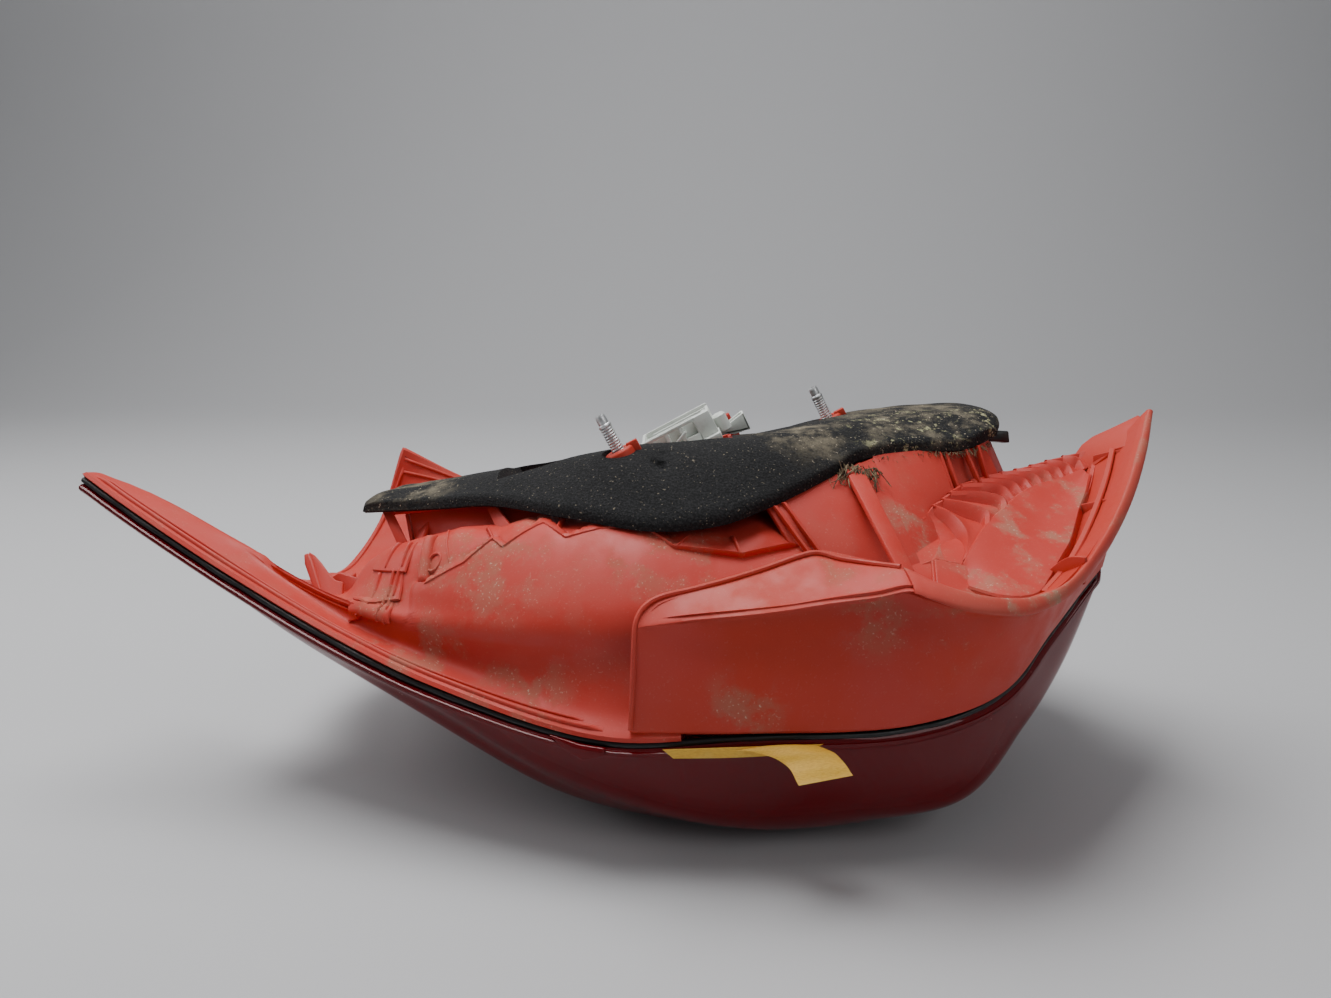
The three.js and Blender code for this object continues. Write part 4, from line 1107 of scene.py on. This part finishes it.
def wing_ribs():
    """Three curved ribs across the channel, and the line of its second step."""
    ribs = []
    for points in CHANNEL_RIBS:
        top = line(points, 10)
        bottom = top[::-1] - [-1, -1, 12]
        ribs.append(rounded_plate(np.concatenate([top, bottom]), 1.8, 0.5))
    step = line(CHANNEL_STEP, 60)
    side = unit(np.cross(np.gradient(step, axis=0), UPWARDS))
    section = [(-1.0, -5), (1.4, -5), (1.4, 0.2), (0.8, 0.8), (-1.0, 0.8)]
    return [*ribs, swept(step, section, side, UPWARDS)]


# Step crests, from the pocket up to the wing: the first four sweep down in an S, the rest follow two rails.
SCOOP_CRESTS = [
    [(115, -27, 127), (109, -34, 124), (104, -48, 117), (103, -60, 112)],
    [(116, -25, 125), (121, -34, 119), (118, -44, 116.5), (113, -57, 115)],
    [(120, -22, 130), (128, -26, 127), (132, -35, 122), (130, -46, 117), (125, -57, 113)],
    [(125, -18, 132), (136, -20, 130.5), (144, -24, 128), (143, -31, 124)],
    [(129, -14, 134), (144, -12, 134), (154, -14, 131.5), (153, -21, 128)],
]
LEFT_RAIL = [(136, -6, 136), (152, 6, 138), (171, 17, 139), (189, 25, 142), (206, 30, 145)]
CORNER_RAIL = [(157, -4, 135), (172, 6, 137), (186, 14, 139), (199, 22, 141), (210, 27, 145)]
TIP_RAIL = [(161, -10, 130), (174, 1, 133.5), (189, 9.5, 135), (200, 16, 137), (210, 21, 142)]
REGULAR_STEPS = 9
SCOOP_DEPTH = 7.0
STEP_DEPTH = 6.0
SCOOP_COUNT = 4
SCOOP_BACK = np.array([-0.45, -0.35, -1.0])
CREST_POINTS = 25
POCKET_EDGE = [
    (103, -60, 111), (106, -44, 115), (114, -27, 122), (130, -10, 131), (152, 8, 136), (175, 22, 138),
    (206, 32, 144),
]


def step_crests():
    """Every crest as a row of points from its left end to its tip."""
    crests = [line(points, CREST_POINTS) for points in SCOOP_CRESTS]
    rails = [line(rail, REGULAR_STEPS) for rail in (LEFT_RAIL, CORNER_RAIL, TIP_RAIL)]
    for left, corner, tip in zip(*rails):
        middle = left * 0.35 + corner * 0.65 + [0, 0, 0.9]
        crests.append(catmull([left, middle, corner, tip], np.linspace(0, 1, CREST_POINTS)))
    return crests


def accordion():
    """The climbing steps: a riser under each crest, and a tread back to the next riser's foot."""
    swell = np.sin(np.pi * np.linspace(0, 1, CREST_POINTS)[:, None]) ** 0.35
    rows = []
    for k, crest in enumerate(step_crests()):
        depth = SCOOP_DEPTH if k < SCOOP_COUNT else STEP_DEPTH
        if k:
            rows.append(crest + swell * unit(SCOOP_BACK) * depth)
        rows.append(crest)
    dense = []
    for row, after in zip(rows, rows[1:]):
        for share in (0.0, 0.12, 0.5, 0.88):
            dense.append(row * (1 - share) + after * share)
    dense.append(rows[-1])
    return sheet(np.array(dense), -1.5, rounding=0.4)


def pocket_floor():
    """The skin that closes the pocket under and beside the steps."""
    left = line(POCKET_EDGE, 30)
    back = left + [-3, 5, -16]
    middle = (left + back) / 2 + [-1, -1, 0]
    return sheet(band(left, middle, back, 6), -1.6, rounding=0.4)


def pocket_block():
    """The square-shouldered block where the first two scoops end."""
    top_left, top_right = (112.5, -57, 115.5), (125.5, -57, 113)
    foot_left, foot_right = (110, -72, 108), (129, -74, 104)
    front = [top_left, top_right, foot_right, foot_left]
    right = [top_right, (127, -50, 104), (131, -70, 98), foot_right]
    left = [top_left, foot_left, (108, -66, 100), (109, -52, 104)]
    return [rounded_plate(corners, 2.0) for corners in (front, right, left)]


make("side_panel", [side_panel(), panel_border()], panel_red, crease=30)
make("wing_lip", wing_lip(), worn_red, crease=60)
make("pocket_steps", [accordion(), *pocket_block()], pocket_red, crease=20)
make("pocket_panel", [inner_panel(), panel_skirt(), pocket_floor()], pocket_red, crease=40)
make("wing_ribs", [*wing_ribs(), rounded_plate(WING_LEAF, 2.2)], panel_red, crease=35)


# ---- deck, walls, finger and bosses ------------------------------------------------------------------------

SUPPORT_WALLS = [
    [(-122, 3, 124), (-117, -6, 107), (-72, -28, 119), (-82, -7, 131)],
    [(-82, -9, 131), (-74, -29, 119), (-28, -47, 123), (-22, -34, 132)],
    [(42, -46, 137), (58, -60, 112), (108, -62, 110), (96, -8, 150)],
    [(94, -8, 151), (108, -58, 110), (136, -20, 118), (128, 4, 152)],
    [(126, 4, 152), (138, -14, 116), (168, 10, 122), (152, 14, 153)],
    [(150, 14, 154), (166, 16, 124), (176, 40, 124), (160, 44, 158)],
    [(-60, 66, 124), (-50, 78, 108), (60, 82, 108), (50, 68, 138)],
    [(48, 68, 138), (60, 80, 108), (150, 78, 108), (140, 66, 152)],
]
# Ribs from a top on the deck to a foot on the bowl.
SLIM_RIBS = [
    ((128, 2, 151), (133, -9, 133)), ((131, 3, 151), (136, -7, 134)), ((141, 6, 152), (147, -1, 137)),
    ((148, 9, 153), (152, 4, 138)), ((46, -48, 137), (60, -62, 119)), ((50, -46, 138), (64, -60, 120)),
]
PANEL_BAR = [(80, -23, 146.5), (88, -14, 148.5), (97, -86, 119), (90, -90, 120)]
GASKET_STOP = [(154, 41, 155.5), (172, 41, 154.5), (173, 41, 148.5), (156, 39, 150.5)]
# The finger's plates: corners, thickness and the radius of its rounded edges.
FINGER_PLATES = [
    ([(-169.5, -2, 103.2), (-166, -4, 102), (-162, -7, 99.2), (-158.5, -10, 96), (-154, -13, 92.5),
      (-150, -14, 92), (-149, -22, 80), (-150, -28, 76), (-155, -26, 79), (-160, -20, 84.5),
      (-164.5, -13, 91), (-168, -7, 97.5)], 2.4, 0.7),
    ([(-171, -3.6, 102.5), (-168.5, -4.6, 103.5), (-166, -6.6, 100.5), (-160, -15.6, 90), (-154, -24.6, 80),
      (-149.5, -30.6, 74.5), (-153, -28.6, 75), (-160, -19.6, 83.5), (-166, -11.6, 92), (-170, -6.6, 98.5)],
     2.6, 0.9),
    ([(-158, -6, 92), (-154.5, -6, 94), (-150, -6, 93), (-143, -6, 91), (-141, -12, 86), (-150, -14, 80),
      (-158, -8, 84)], 2.2, 0.6),
    ([(-171, -14, 85.5), (-166, -14.5, 87), (-161.5, -15, 90.5), (-157, -18, 84), (-154, -22, 77),
      (-162, -26, 77), (-170, -20, 81)], 2.2, 0.6),
    ([(-176, 0, 84), (-174, 36, 80), (-160, 36, 80), (-158, -4, 84)], 3, 0.8),
]


def post(top, foot, side, up, section, radius):
    """A straight bar of one section from the bowl up to the deck; up may be worked out from its ends."""
    top, foot = np.array(top, float), np.array(foot, float)
    if up is None:
        up = unit(np.cross(side, top - foot))
    return rounded(swept(np.array([foot, (top + foot) / 2, top]), section, side, up), radius)


def leg(top, foot, width, depth):
    """A square leg from the deck to the bowl."""
    x, y = width / 2, depth / 2
    return post(top, foot, [1.0, 0, 0], None, [(-x, -y), (x, -y), (x, y), (-x, y)], 0.5)


def front_legs():
    """Two legs and two small webs under the gasket's left end."""
    return [
        leg((-131.5, 1, 121.5), (-122.5, -9, 108.5), 5, 4),
        leg((-123.5, 4, 123), (-119.5, -4, 109), 1.6, 5),
        rounded_plate([(-118, -7, 109), (-112, -12, 113), (-110, -6, 119), (-113, -2, 120)], 2.0, 0.5),
        rounded_plate([(-84, -11, 131.5), (-79, -15, 132.5), (-67, -35, 124), (-73, -33, 120)], 2.2),
    ]


def wall_bars():
    """The bar between the two big faces, and slim ribs beside it."""
    side, up = unit(np.array([0.8, 0.5, 0])), unit(np.array([0.5, -0.85, 0.2]))
    section = [(-0.8, -1.5), (0.8, -1.5), (0.7, 1.4), (-0.7, 1.4)]
    return [rounded_plate(PANEL_BAR, 2.4), *[post(*ends, side, up, section, 0.3) for ends in SLIM_RIBS]]


def back_ribs():
    """Stiffening ribs down the bowl's far side, and one along it."""
    ribs = []
    for x in range(-110, 131, 40):
        points = [(x, 60, 122), (x + 2, 84, 116), (x + 4, 104, 102), (x + 5, 117, 90)]
        ribs.append(ridge(points, 2.6, 4.5, 30, taper=0.2))
    along = [(-130, 78, 108), (-60, 88, 114), (20, 92, 114), (100, 88, 112), (160, 74, 114)]
    ribs.append(ridge(along, 2.4, 3.0, 90, taper=0.05))
    return ribs


def boss(foot):
    """A stud boss, its face just proud of the gasket, with a small locating lug."""
    bore, top = STUD_RADIUS + CLEARANCE, BOSS_TOP
    profile = [(bore, -6), (BOSS_RADIUS, -6), (BOSS_RADIUS, top - 1), (BOSS_RADIUS - 0.8, top), (bore, top)]
    lug = rounded(bar((4.2, -1.6, 2), (9.5, 1.6, top + 0.9)), 0.4)
    return on_draw_axis(merged([rounded(pipe(profile, 36), 0.3), lug]), foot)


def stud_holes(radius):
    """A cutting cylinder of the given radius round each stud."""
    cylinder = turned([(0, -HOLE_REACH), (radius, -HOLE_REACH), (radius, HOLE_REACH), (0, HOLE_REACH)])
    return [on_draw_axis(cylinder, foot) for foot in STUD_FEET.values()]


def deck():
    """The plate under the gasket, a few millimetres short of the gasket's edge."""
    return sheet(offset(deck_grid[6:-4, 10:-8], -CLEARANCE), -DECK_THICKNESS)


def well_wall():
    """The collar that the carrier drops into, up to the deck, and the catch beyond its right end."""
    outer_x = CARRIER_LENGTH / 2 + WELL_MARGIN + WELL_WALL
    outer_y = CARRIER_WIDTH / 2 + WELL_MARGIN + WELL_WALL
    inner_y = outer_y - WELL_WALL
    x, y = outer_x - WELL_WALL / 2, outer_y - WELL_WALL / 2
    low, left_top, right_top = -18, 9, -8
    walls = []
    for sign, end_top in ((-1, left_top), (1, right_top)):
        walls.append([(-outer_x, sign * y, low), (outer_x, sign * y, low), (outer_x, sign * y, right_top),
                      (-outer_x, sign * y, left_top)])
        walls.append([(sign * x, -inner_y, low), (sign * x, inner_y, low), (sign * x, inner_y, end_top),
                      (sign * x, -inner_y, end_top)])
    catch = bar((outer_x - 0.5, 14, -12), (outer_x + 3.5, 19, 3))
    parts = [*[plate(corners, WELL_WALL) for corners in walls], catch]
    return [on_draw_axis(rounded(part, 0.5), CARRIER_ORIGIN) for part in parts]


walls = [rounded_plate(corners, HOUSING_WALL) for corners in SUPPORT_WALLS]
ribs = [*front_legs(), *wall_bars(), *back_ribs(), *well_wall()]
finger = [rounded_plate(corners, thickness, radius, 3) for corners, thickness, radius in FINGER_PLATES]
deck_piece = raw_piece("housing_deck", deck())
carve(deck_piece, [well(0), *stud_holes(BOSS_RADIUS - 1)])
finish_piece(deck_piece, bowl_red)
make("support_walls", walls, pocket_red, crease=35)
make("support_ribs", ribs, bowl_red, crease=35)
make("finger_tab", finger, pocket_red, crease=35)
make("stud_bosses", [boss(foot) for foot in STUD_FEET.values()], panel_red, crease=35)
# The black block by the gasket's right end.
make("gasket_stop", rounded_plate(GASKET_STOP, 9, 0.8, 3), seal_black, crease=35)


# ---- gasket ------------------------------------------------------------------------------------------------

THIRD_STUD_PRINT = (-2, -30)
# How thick the foam is at its edge and at each grid line inside it, as shares of its full thickness.
EDGE_SHARES = (0.55, 0.74, 0.87, 0.94, 0.98)
EDGE_BULGE = 1.1


def foam_thickness(grid):
    """The foam's thickness: pressed thin by a stud's thread, swollen at its lobe, uneven with age."""
    x, y = grid[..., 0], grid[..., 1]
    spread = ((x - THIRD_STUD_PRINT[0]) / 5) ** 2 + ((y - THIRD_STUD_PRINT[1]) / 9) ** 2
    print_depth = 2.4 * np.exp(-spread) + 1.1 * np.exp(-spread * 1.2) * np.sin(2 * np.pi * y / 3.0)
    lobe = 0.9 * np.exp(-((x - 150) / 22) ** 2)
    waves = 0.35 * np.sin(x / 13.0) * np.cos(y / 9.0) + 0.2 * np.sin(x / 5.1 + y / 4.3)
    return FOAM_THICKNESS - print_depth + lobe + waves


def gasket():
    """The foam gasket: a thick soft sheet with rounded edges."""
    lower = deck_grid
    inward = np.ones(lower.shape[:2])
    for depth, share in enumerate(EDGE_SHARES):
        for edge in (inward[depth], inward[-1 - depth], inward[:, depth], inward[:, -1 - depth]):
            np.minimum(edge, share, out=edge)
    full = offset(lower, foam_thickness(lower))
    upper = lower + (full - lower) * inward[..., None]
    points, faces = sheet(lower, 1.0, rounding=0.0)
    count = inward.size
    points[count:2 * count] = upper.reshape(-1, 3)
    points[2 * count:] = loop_of(lower * 0.6 + upper * 0.4 + outwards(lower) * EDGE_BULGE)
    return points, faces


foam = raw_piece("gasket", gasket())
carve(foam, [well(WELL_WALL + CLEARANCE), *stud_holes(BOSS_RADIUS + CLEARANCE)])
finish_piece(foam, foam_black, crease=50)
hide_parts("foam_gasket")


# ---- studs and tape ----------------------------------------------------------------------------------------

THREAD_DEPTH = 0.45
THREAD_LOW, THREAD_HIGH = BOSS_TOP - 4, STUD_TOP - 5
# The dog point above the thread: shares of the stud's radius, and heights.
DOG_POINT = [
    (0.93, THREAD_HIGH + 0.3), (0.80, THREAD_HIGH + 0.7), (0.80, THREAD_HIGH + 3.6), (0.72, STUD_TOP - 0.5),
    (0.62, STUD_TOP), (0.45, STUD_TOP), (0.40, STUD_TOP - 0.5),
]


def stud(sides=40):
    """A threaded stud: shank, running thread and a dog point."""
    ring = circle(sides)
    turn = np.arange(sides) / sides
    rings = [ring * STUD_RADIUS - [0, 0, STUD_SHANK]]
    for height in np.arange(THREAD_LOW, THREAD_HIGH, STUD_PITCH / 8):
        phase = (height / STUD_PITCH - turn) % 1
        cut = THREAD_DEPTH * (1 - np.abs(2 * phase - 1))
        fade = max(min(1, (height - THREAD_LOW) / 2, (THREAD_HIGH - height) / 1.5), 0)
        rings.append(ring * (STUD_RADIUS - cut * fade)[:, None] + [0, 0, height])
    rings += [ring * STUD_RADIUS * share + [0, 0, height] for share, height in DOG_POINT]
    return np.concatenate(rings), tube_faces(len(rings), sides)


def tape():
    """A strip of tape, its end curled away and drooping."""
    grid = loft(TAPE_GUIDES, 60, 24, smooth=False)
    along = np.linspace(0, 1, grid.shape[0])[:, None]
    across = np.linspace(-1, 1, grid.shape[1])[None, :]
    curl = 1.6 * np.sin(np.pi * along) * (1 - across ** 2) + 0.25 * np.sin(along * 24) * along
    return sheet(offset(grid, curl), 0.28, rounding=0.3)


def tape_root():
    """The part of the tape that still lies on the lens."""
    upper = [(-1, -109.6, 56), (24, -109.9, 57), (60, -109.2, 58)]
    lower = [(3, -108.8, 52), (24, -109.2, 52.5), (52, -109.4, 54)]
    return sheet(loft([upper, lower], 40, 6, smooth=False), -0.3)


for side_name, foot in STUD_FEET.items():
    threaded = on_draw_axis(stud(), foot)
    make(f"threaded_stud_{side_name}", threaded, zinc, crease=38, stands_for=f"stud_{side_name}")
make("tape_curl", [tape(), tape_root()], tape_yellow, crease=50, stands_for="marking_tape")


# ---- bulb carrier ------------------------------------------------------------------------------------------

# Lengths here are in the carrier's own frame: +X along it, +Z out of the well, 0 at the plate's underside.
CARRIER_ROUNDING = 0.35
END_LENGTH = 7
LATCH_SLOT = 7.2
# The frame over the connector, each bar by its low and high corners: front rails, back wall and end, two
# cross bars, the solid end, the double back rail, and the end frames.
BRIDGE_BARS = [
    ((12, -19, 12.6), (40, -17.4, 14.2)), ((12, -19, 2), (40, -17.4, 6.5)),
    ((12, -15.8, 2), (40, -14.6, 13.4)), ((12, -19, 2), (13.6, -14.6, 14.2)),
    ((24, -19, 5), (26, -15.6, 13)), ((31, -19, 5), (33, -15.6, 13)), ((39, -19, 2), (47.5, -13.5, 14)),
    ((13, 17.4, 2), (47, 19, 12.6)), ((17, 12.6, 2), (47, 14, 11.4)),
    ((45.8, -14, 2), (47.4, 12.8, 12.0)), ((12, -15, 8), (13.6, 19, 12.6)),
]
# The clip on the front and the tab beyond the right end: corners and thickness.
BRIDGE_PLATES = [
    ([(27.5, -19.4, 7.6), (33.8, -19.4, 10.6), (34.4, -19.4, 9.4), (28.1, -19.4, 6.4)], 1.8),
    ([(46.5, 0, -1), (53, 0, -5), (61, 0, -6), (61.4, 0, 2.6), (54, 0, 1.2)], 2.0),
    ([(46.5, 7, -1), (53, 7, -5), (61, 7, -6), (61.4, 7, 2.6), (54, 7, 1.2)], 2.0),
    ([(46.5, -1, -1.6), (61, -1, -5.6), (61, 8, -5.6), (46.5, 8, -1.6)], 1.4),
    ([(60.4, -1, -6), (60.4, 8, -6), (60.8, 8, 2.4), (60.8, -1, 2.4)], 1.2),
]
LATCH_OUTLINE = [
    (42.6, 0.3), (45.3, 0.3), (45.3, 8.0), (47.4, 9.4), (46.6, 11.2), (44.6, 12), (43.2, 11.6), (42.6, 8),
]


def tray(low, high, wall, floor):
    """An open-topped tray with thin walls."""
    x0, y0, z0 = low
    x1, y1, z1 = high
    return [
        bar(low, (x1, y1, z0 + floor)), bar(low, (x1, y0 + wall, z1)), bar((x0, y1 - wall, z0), high),
        bar((x0, y0, z0), (x0 + wall, y1, z1)), bar((x1 - wall, y0, z0), high),
    ]


def carrier_body():
    """The plate with a slot at each end for a latch, the ribbed tray and the connector's shroud."""
    x, y = CARRIER_LENGTH / 2, CARRIER_WIDTH / 2
    parts = [bar((-x + 6.6, -y, 0), (x - 6.6, y, CARRIER_PLATE))]
    for start in (-x, x - END_LENGTH):
        parts.append(bar((start, -y, 0), (start + END_LENGTH, -LATCH_SLOT, CARRIER_PLATE)))
        parts.append(bar((start, LATCH_SLOT, 0), (start + END_LENGTH, y, CARRIER_PLATE)))
    parts += tray((-40, -19, 2), (8, 19, 9), 1.4, 1.0)
    parts += tray((12, -9, 2), (40, 9, 11), 1.8, 1.6)
    parts += [bar((rib, -18.5, 2), (rib + 1.4, 18.5, 8)) for rib in (-29, -18, -7)]
    return [rounded(part, CARRIER_ROUNDING) for part in parts]


def carrier_bridge():
    """The tall frame over the connector, its clip and tab, and the round post beyond it."""
    parts = [bar(*corners) for corners in BRIDGE_BARS]
    parts += [plate(*values) for values in BRIDGE_PLATES]
    round_post = moved(turned([(0, 0), (3.6, 0), (3.6, 7.4), (2.6, 8.4), (0, 8.4)], 30), (50, -4, 0))
    return [*[rounded(part, CARRIER_ROUNDING) for part in parts], round_post]


def sockets():
    """Bulb sockets under the plate, with their bayonet slots' collars, and their domes above it."""
    bore, wall, low = BULB_CAP_RADIUS + CLEARANCE, SOCKET_RADIUS, -SOCKET_DEPTH
    tube = [(bore, low), (wall - 1, low), (wall, low + 1), (wall, 0.5), (bore, 0.5)]
    collar = [(wall - 0.5, -12), (wall + 1, -11.4), (wall + 1, -9.6), (wall - 0.5, -9)]
    dome = [(0, 2), (6.5, 2), (6.5, 6.5), (5.4, 7.8), (3, 8.6), (0, 8.8)]
    parts = []
    for x in (-BULB_PITCH, 0, BULB_PITCH):
        parts.append(moved(rounded(pipe(tube, 40), 0.3), (x, 0, 0)))
        parts.append(moved(pipe(collar, 40), (x, 0, 0)))
    return parts + [moved(turned(dome, 36), (x, 0, 0)) for x in (-34, 1)]


def latch(end):
    """A sprung latch finger with its hook and two grip ribs; end is -1 on the left and 1 on the right."""
    low, high = sorted((end * 42.2, end * 43.2))
    finger = plate([(end * x, 0, z) for x, z in LATCH_OUTLINE], 11.4)
    grips = [bar((low, -5, z), (high, 5, z + 0.8)) for z in (8.6, 10.2)]
    return [rounded(part, 0.3) for part in (finger, *grips)]


def carrier_piece(name, parts, body, stands_for):
    """A piece from parts in the carrier's frame."""
    fitted = [on_draw_axis(part, CARRIER_ORIGIN) for part in parts]
    make(name, fitted, carrier_grey, body=body, crease=35, stands_for=stands_for)


carrier_piece("carrier_frame", [*carrier_body(), *carrier_bridge(), *sockets()], "carrier", "bulb_carrier")
for side_name, end in (("left", -1), ("right", 1)):
    carrier_piece(f"latch_finger_{side_name}", latch(end), f"latch_{side_name}", f"carrier_latch_{side_name}")


# ---- dried roots caught under the gasket -------------------------------------------------------------------

TANGLE_TOP = np.array([84.0, -21.0, 147.0])
CRUMBS_MIDDLE = np.array([79.0, -28.0, 131.0])
CRUMB_PROFILE = [(0, -1), (0.7, -0.75), (1.0, -0.1), (0.85, 0.5), (0.45, 0.9), (0, 1)]
FRAYED_EDGE = [
    (66, -29, 143), (80, -21, 146.5), (92, -12, 149), (116, -1.5, 151), (140, 3.5, 151), (156, 14, 153),
]


def strand(points, radius):
    """One fibre: a tapered five-sided tube along a curve."""
    path = line(points, 9)
    along = np.gradient(path, axis=0)
    side = unit(np.cross(along, [0.3, 1.0, 0.2]))
    up = unit(np.cross(along, side))
    thin = np.linspace(1, 0.35, len(path))[:, None]
    return swept(path, ellipse(5, radius, radius), side * thin, up * thin)


def root_tangle():
    """A hanging tangle of roots below the gasket's edge."""
    chance = np.random.default_rng(7)
    parts = []
    for _ in range(170):
        start = TANGLE_TOP + np.clip(chance.normal(0, 1, 3), -1.5, 1.5) * [6.5, 1.5, 1.5]
        fall = chance.uniform(5, 26)
        lean = chance.normal(0, 1, 2) * [5, 2.5]
        end = start + [lean[0], lean[1] - 6, -fall]
        bend = (start + end) / 2 + chance.normal(0, 3, 3)
        parts.append(strand([start, bend, end], chance.uniform(0.18, 0.5)))
    return parts


def root_crumbs():
    """Crumbs of soil among the roots."""
    chance = np.random.default_rng(11)
    points, faces = turned(CRUMB_PROFILE, 9)
    parts = []
    for _ in range(46):
        centre = CRUMBS_MIDDLE + np.clip(chance.normal(0, 1, 3), -1.4, 1.4) * [4.0, 2.0, 5.0]
        size = chance.uniform(0.6, 1.7)
        wobble = 1 + chance.normal(0, 0.16, (len(points), 1))
        parts.append((points * wobble * size + centre, faces))
    return parts


def frayed_edge():
    """Short torn fibres along the gasket's lower edge on the wing's side."""
    chance = np.random.default_rng(23)
    parts = []
    for place in line(FRAYED_EDGE, 230):
        start = place + chance.normal(0, 0.5, 3)
        tip = start + [chance.normal(0.6, 1.1), chance.normal(-1.6, 0.6), chance.uniform(-3.4, -0.6)]
        bend = (start + tip) / 2 + chance.normal(0, 0.4, 3)
        parts.append(strand([start, bend, tip], chance.uniform(0.10, 0.24)))
    return parts


make("caught_roots", [*root_tangle(), *root_crumbs()], dry_roots, crease=60)
make("gasket_fibres", frayed_edge(), dry_roots, crease=60)


# ---- finishes on the nodes that stay -----------------------------------------------------------------------

def node_finish(name):
    """The finish of a CAD node that stays, and nothing for one that a piece stands for."""
    if name.startswith(("connector_pin", "contact_strip")) or name.endswith("_bulb_cap"):
        return brass
    if name.endswith("_bulb_glass"):
        return bulb_glass
    return {"reflector": reflector_chrome, "breather_cap": seal_black}.get(name)


for node_name, node in frame["nodes"].items():
    material = node_finish(node_name)
    if material:
        node.data.materials.clear()
        node.data.materials.append(material)


# ---- bench, lights and camera ------------------------------------------------------------------------------

# The bench in metres: how wide it is to each side, and its profile (y, z) with a sweep up at the back.
BENCH_HALF_WIDTH = 3.0
BENCH_FRONT, BENCH_BACK = -2.5, 1.2
SWEEP_RADIUS = 0.9
BACKDROP_TOP = 3.2


def studio():
    """A plain pale bench that sweeps up behind the lamp."""
    profile = [(BENCH_FRONT, 0.0)]
    for a in np.linspace(0, math.pi / 2, 16):
        profile.append((BENCH_BACK + SWEEP_RADIUS * math.sin(a), SWEEP_RADIUS * (1 - math.cos(a))))
    profile.append((BENCH_BACK + SWEEP_RADIUS, BACKDROP_TOP))
    points = [(x, y, z) for y, z in profile for x in (-BENCH_HALF_WIDTH, BENCH_HALF_WIDTH)]
    faces = [[2 * k, 2 * k + 1, 2 * k + 3, 2 * k + 2] for k in range(len(profile) - 1)]
    mesh = bpy.data.meshes.new("bench")
    mesh.from_pydata(points, [], faces)
    mesh.shade_smooth()
    floor = bpy.data.objects.new("bench", mesh)
    bpy.context.scene.collection.objects.link(floor)
    paper = Finish("bench_paper", (0.50, 0.50, 0.51), 0.85)
    paper.bump(paper.noise(0.002), 0.0001, 0.2)
    mesh.materials.append(paper.material)


def softbox(name, place, target, size, power):
    """A rectangular light in metres and watts, turned to a target."""
    light = bpy.data.lights.new(name, "AREA")
    light.shape = "RECTANGLE"
    light.size, light.size_y = size
    light.energy = power
    lamp = bpy.data.objects.new(name, light)
    bpy.context.scene.collection.objects.link(lamp)
    lamp.location = place
    lamp.rotation_euler = (Vector(target) - Vector(place)).to_track_quat("-Z", "Y").to_euler()


CAMERA_PLACE = (0, -460, 235)
CAMERA_DIP = math.radians(13)
CAMERA_LENS = 27.05

studio()
softbox("overhead", (-0.15, 0.12, 1.15), (0, 0, 0.08), (0.8, 0.6), 15)
softbox("front_right", (0.9, -0.9, 0.9), (0.02, 0, 0.08), (0.7, 0.7), 3)
softbox("left_sky", (-1.1, 0.2, 0.8), (-0.05, 0, 0.1), (0.6, 1.0), 6)
softbox("backdrop", (0.0, 1.3, 1.9), (0, 2.1, 0.9), (2.4, 0.5), 16)
world = bpy.data.worlds.new("studio")
bpy.context.scene.world = world
world.use_nodes = True
sky = world.node_tree.nodes["Background"]
sky.inputs["Color"].default_value = (0.80, 0.82, 0.85, 1)
sky.inputs["Strength"].default_value = 0.26

camera_data = bpy.data.cameras.new("camera")
camera_data.sensor_width = 36
camera_data.lens = CAMERA_LENS
camera_data.clip_start = 0.01
camera = bpy.data.objects.new("camera", camera_data)
bpy.context.scene.collection.objects.link(camera)
camera.location = placed(CAMERA_PLACE)
camera.rotation_euler = (math.pi / 2 - CAMERA_DIP, 0, 0)
bpy.context.scene.camera = camera
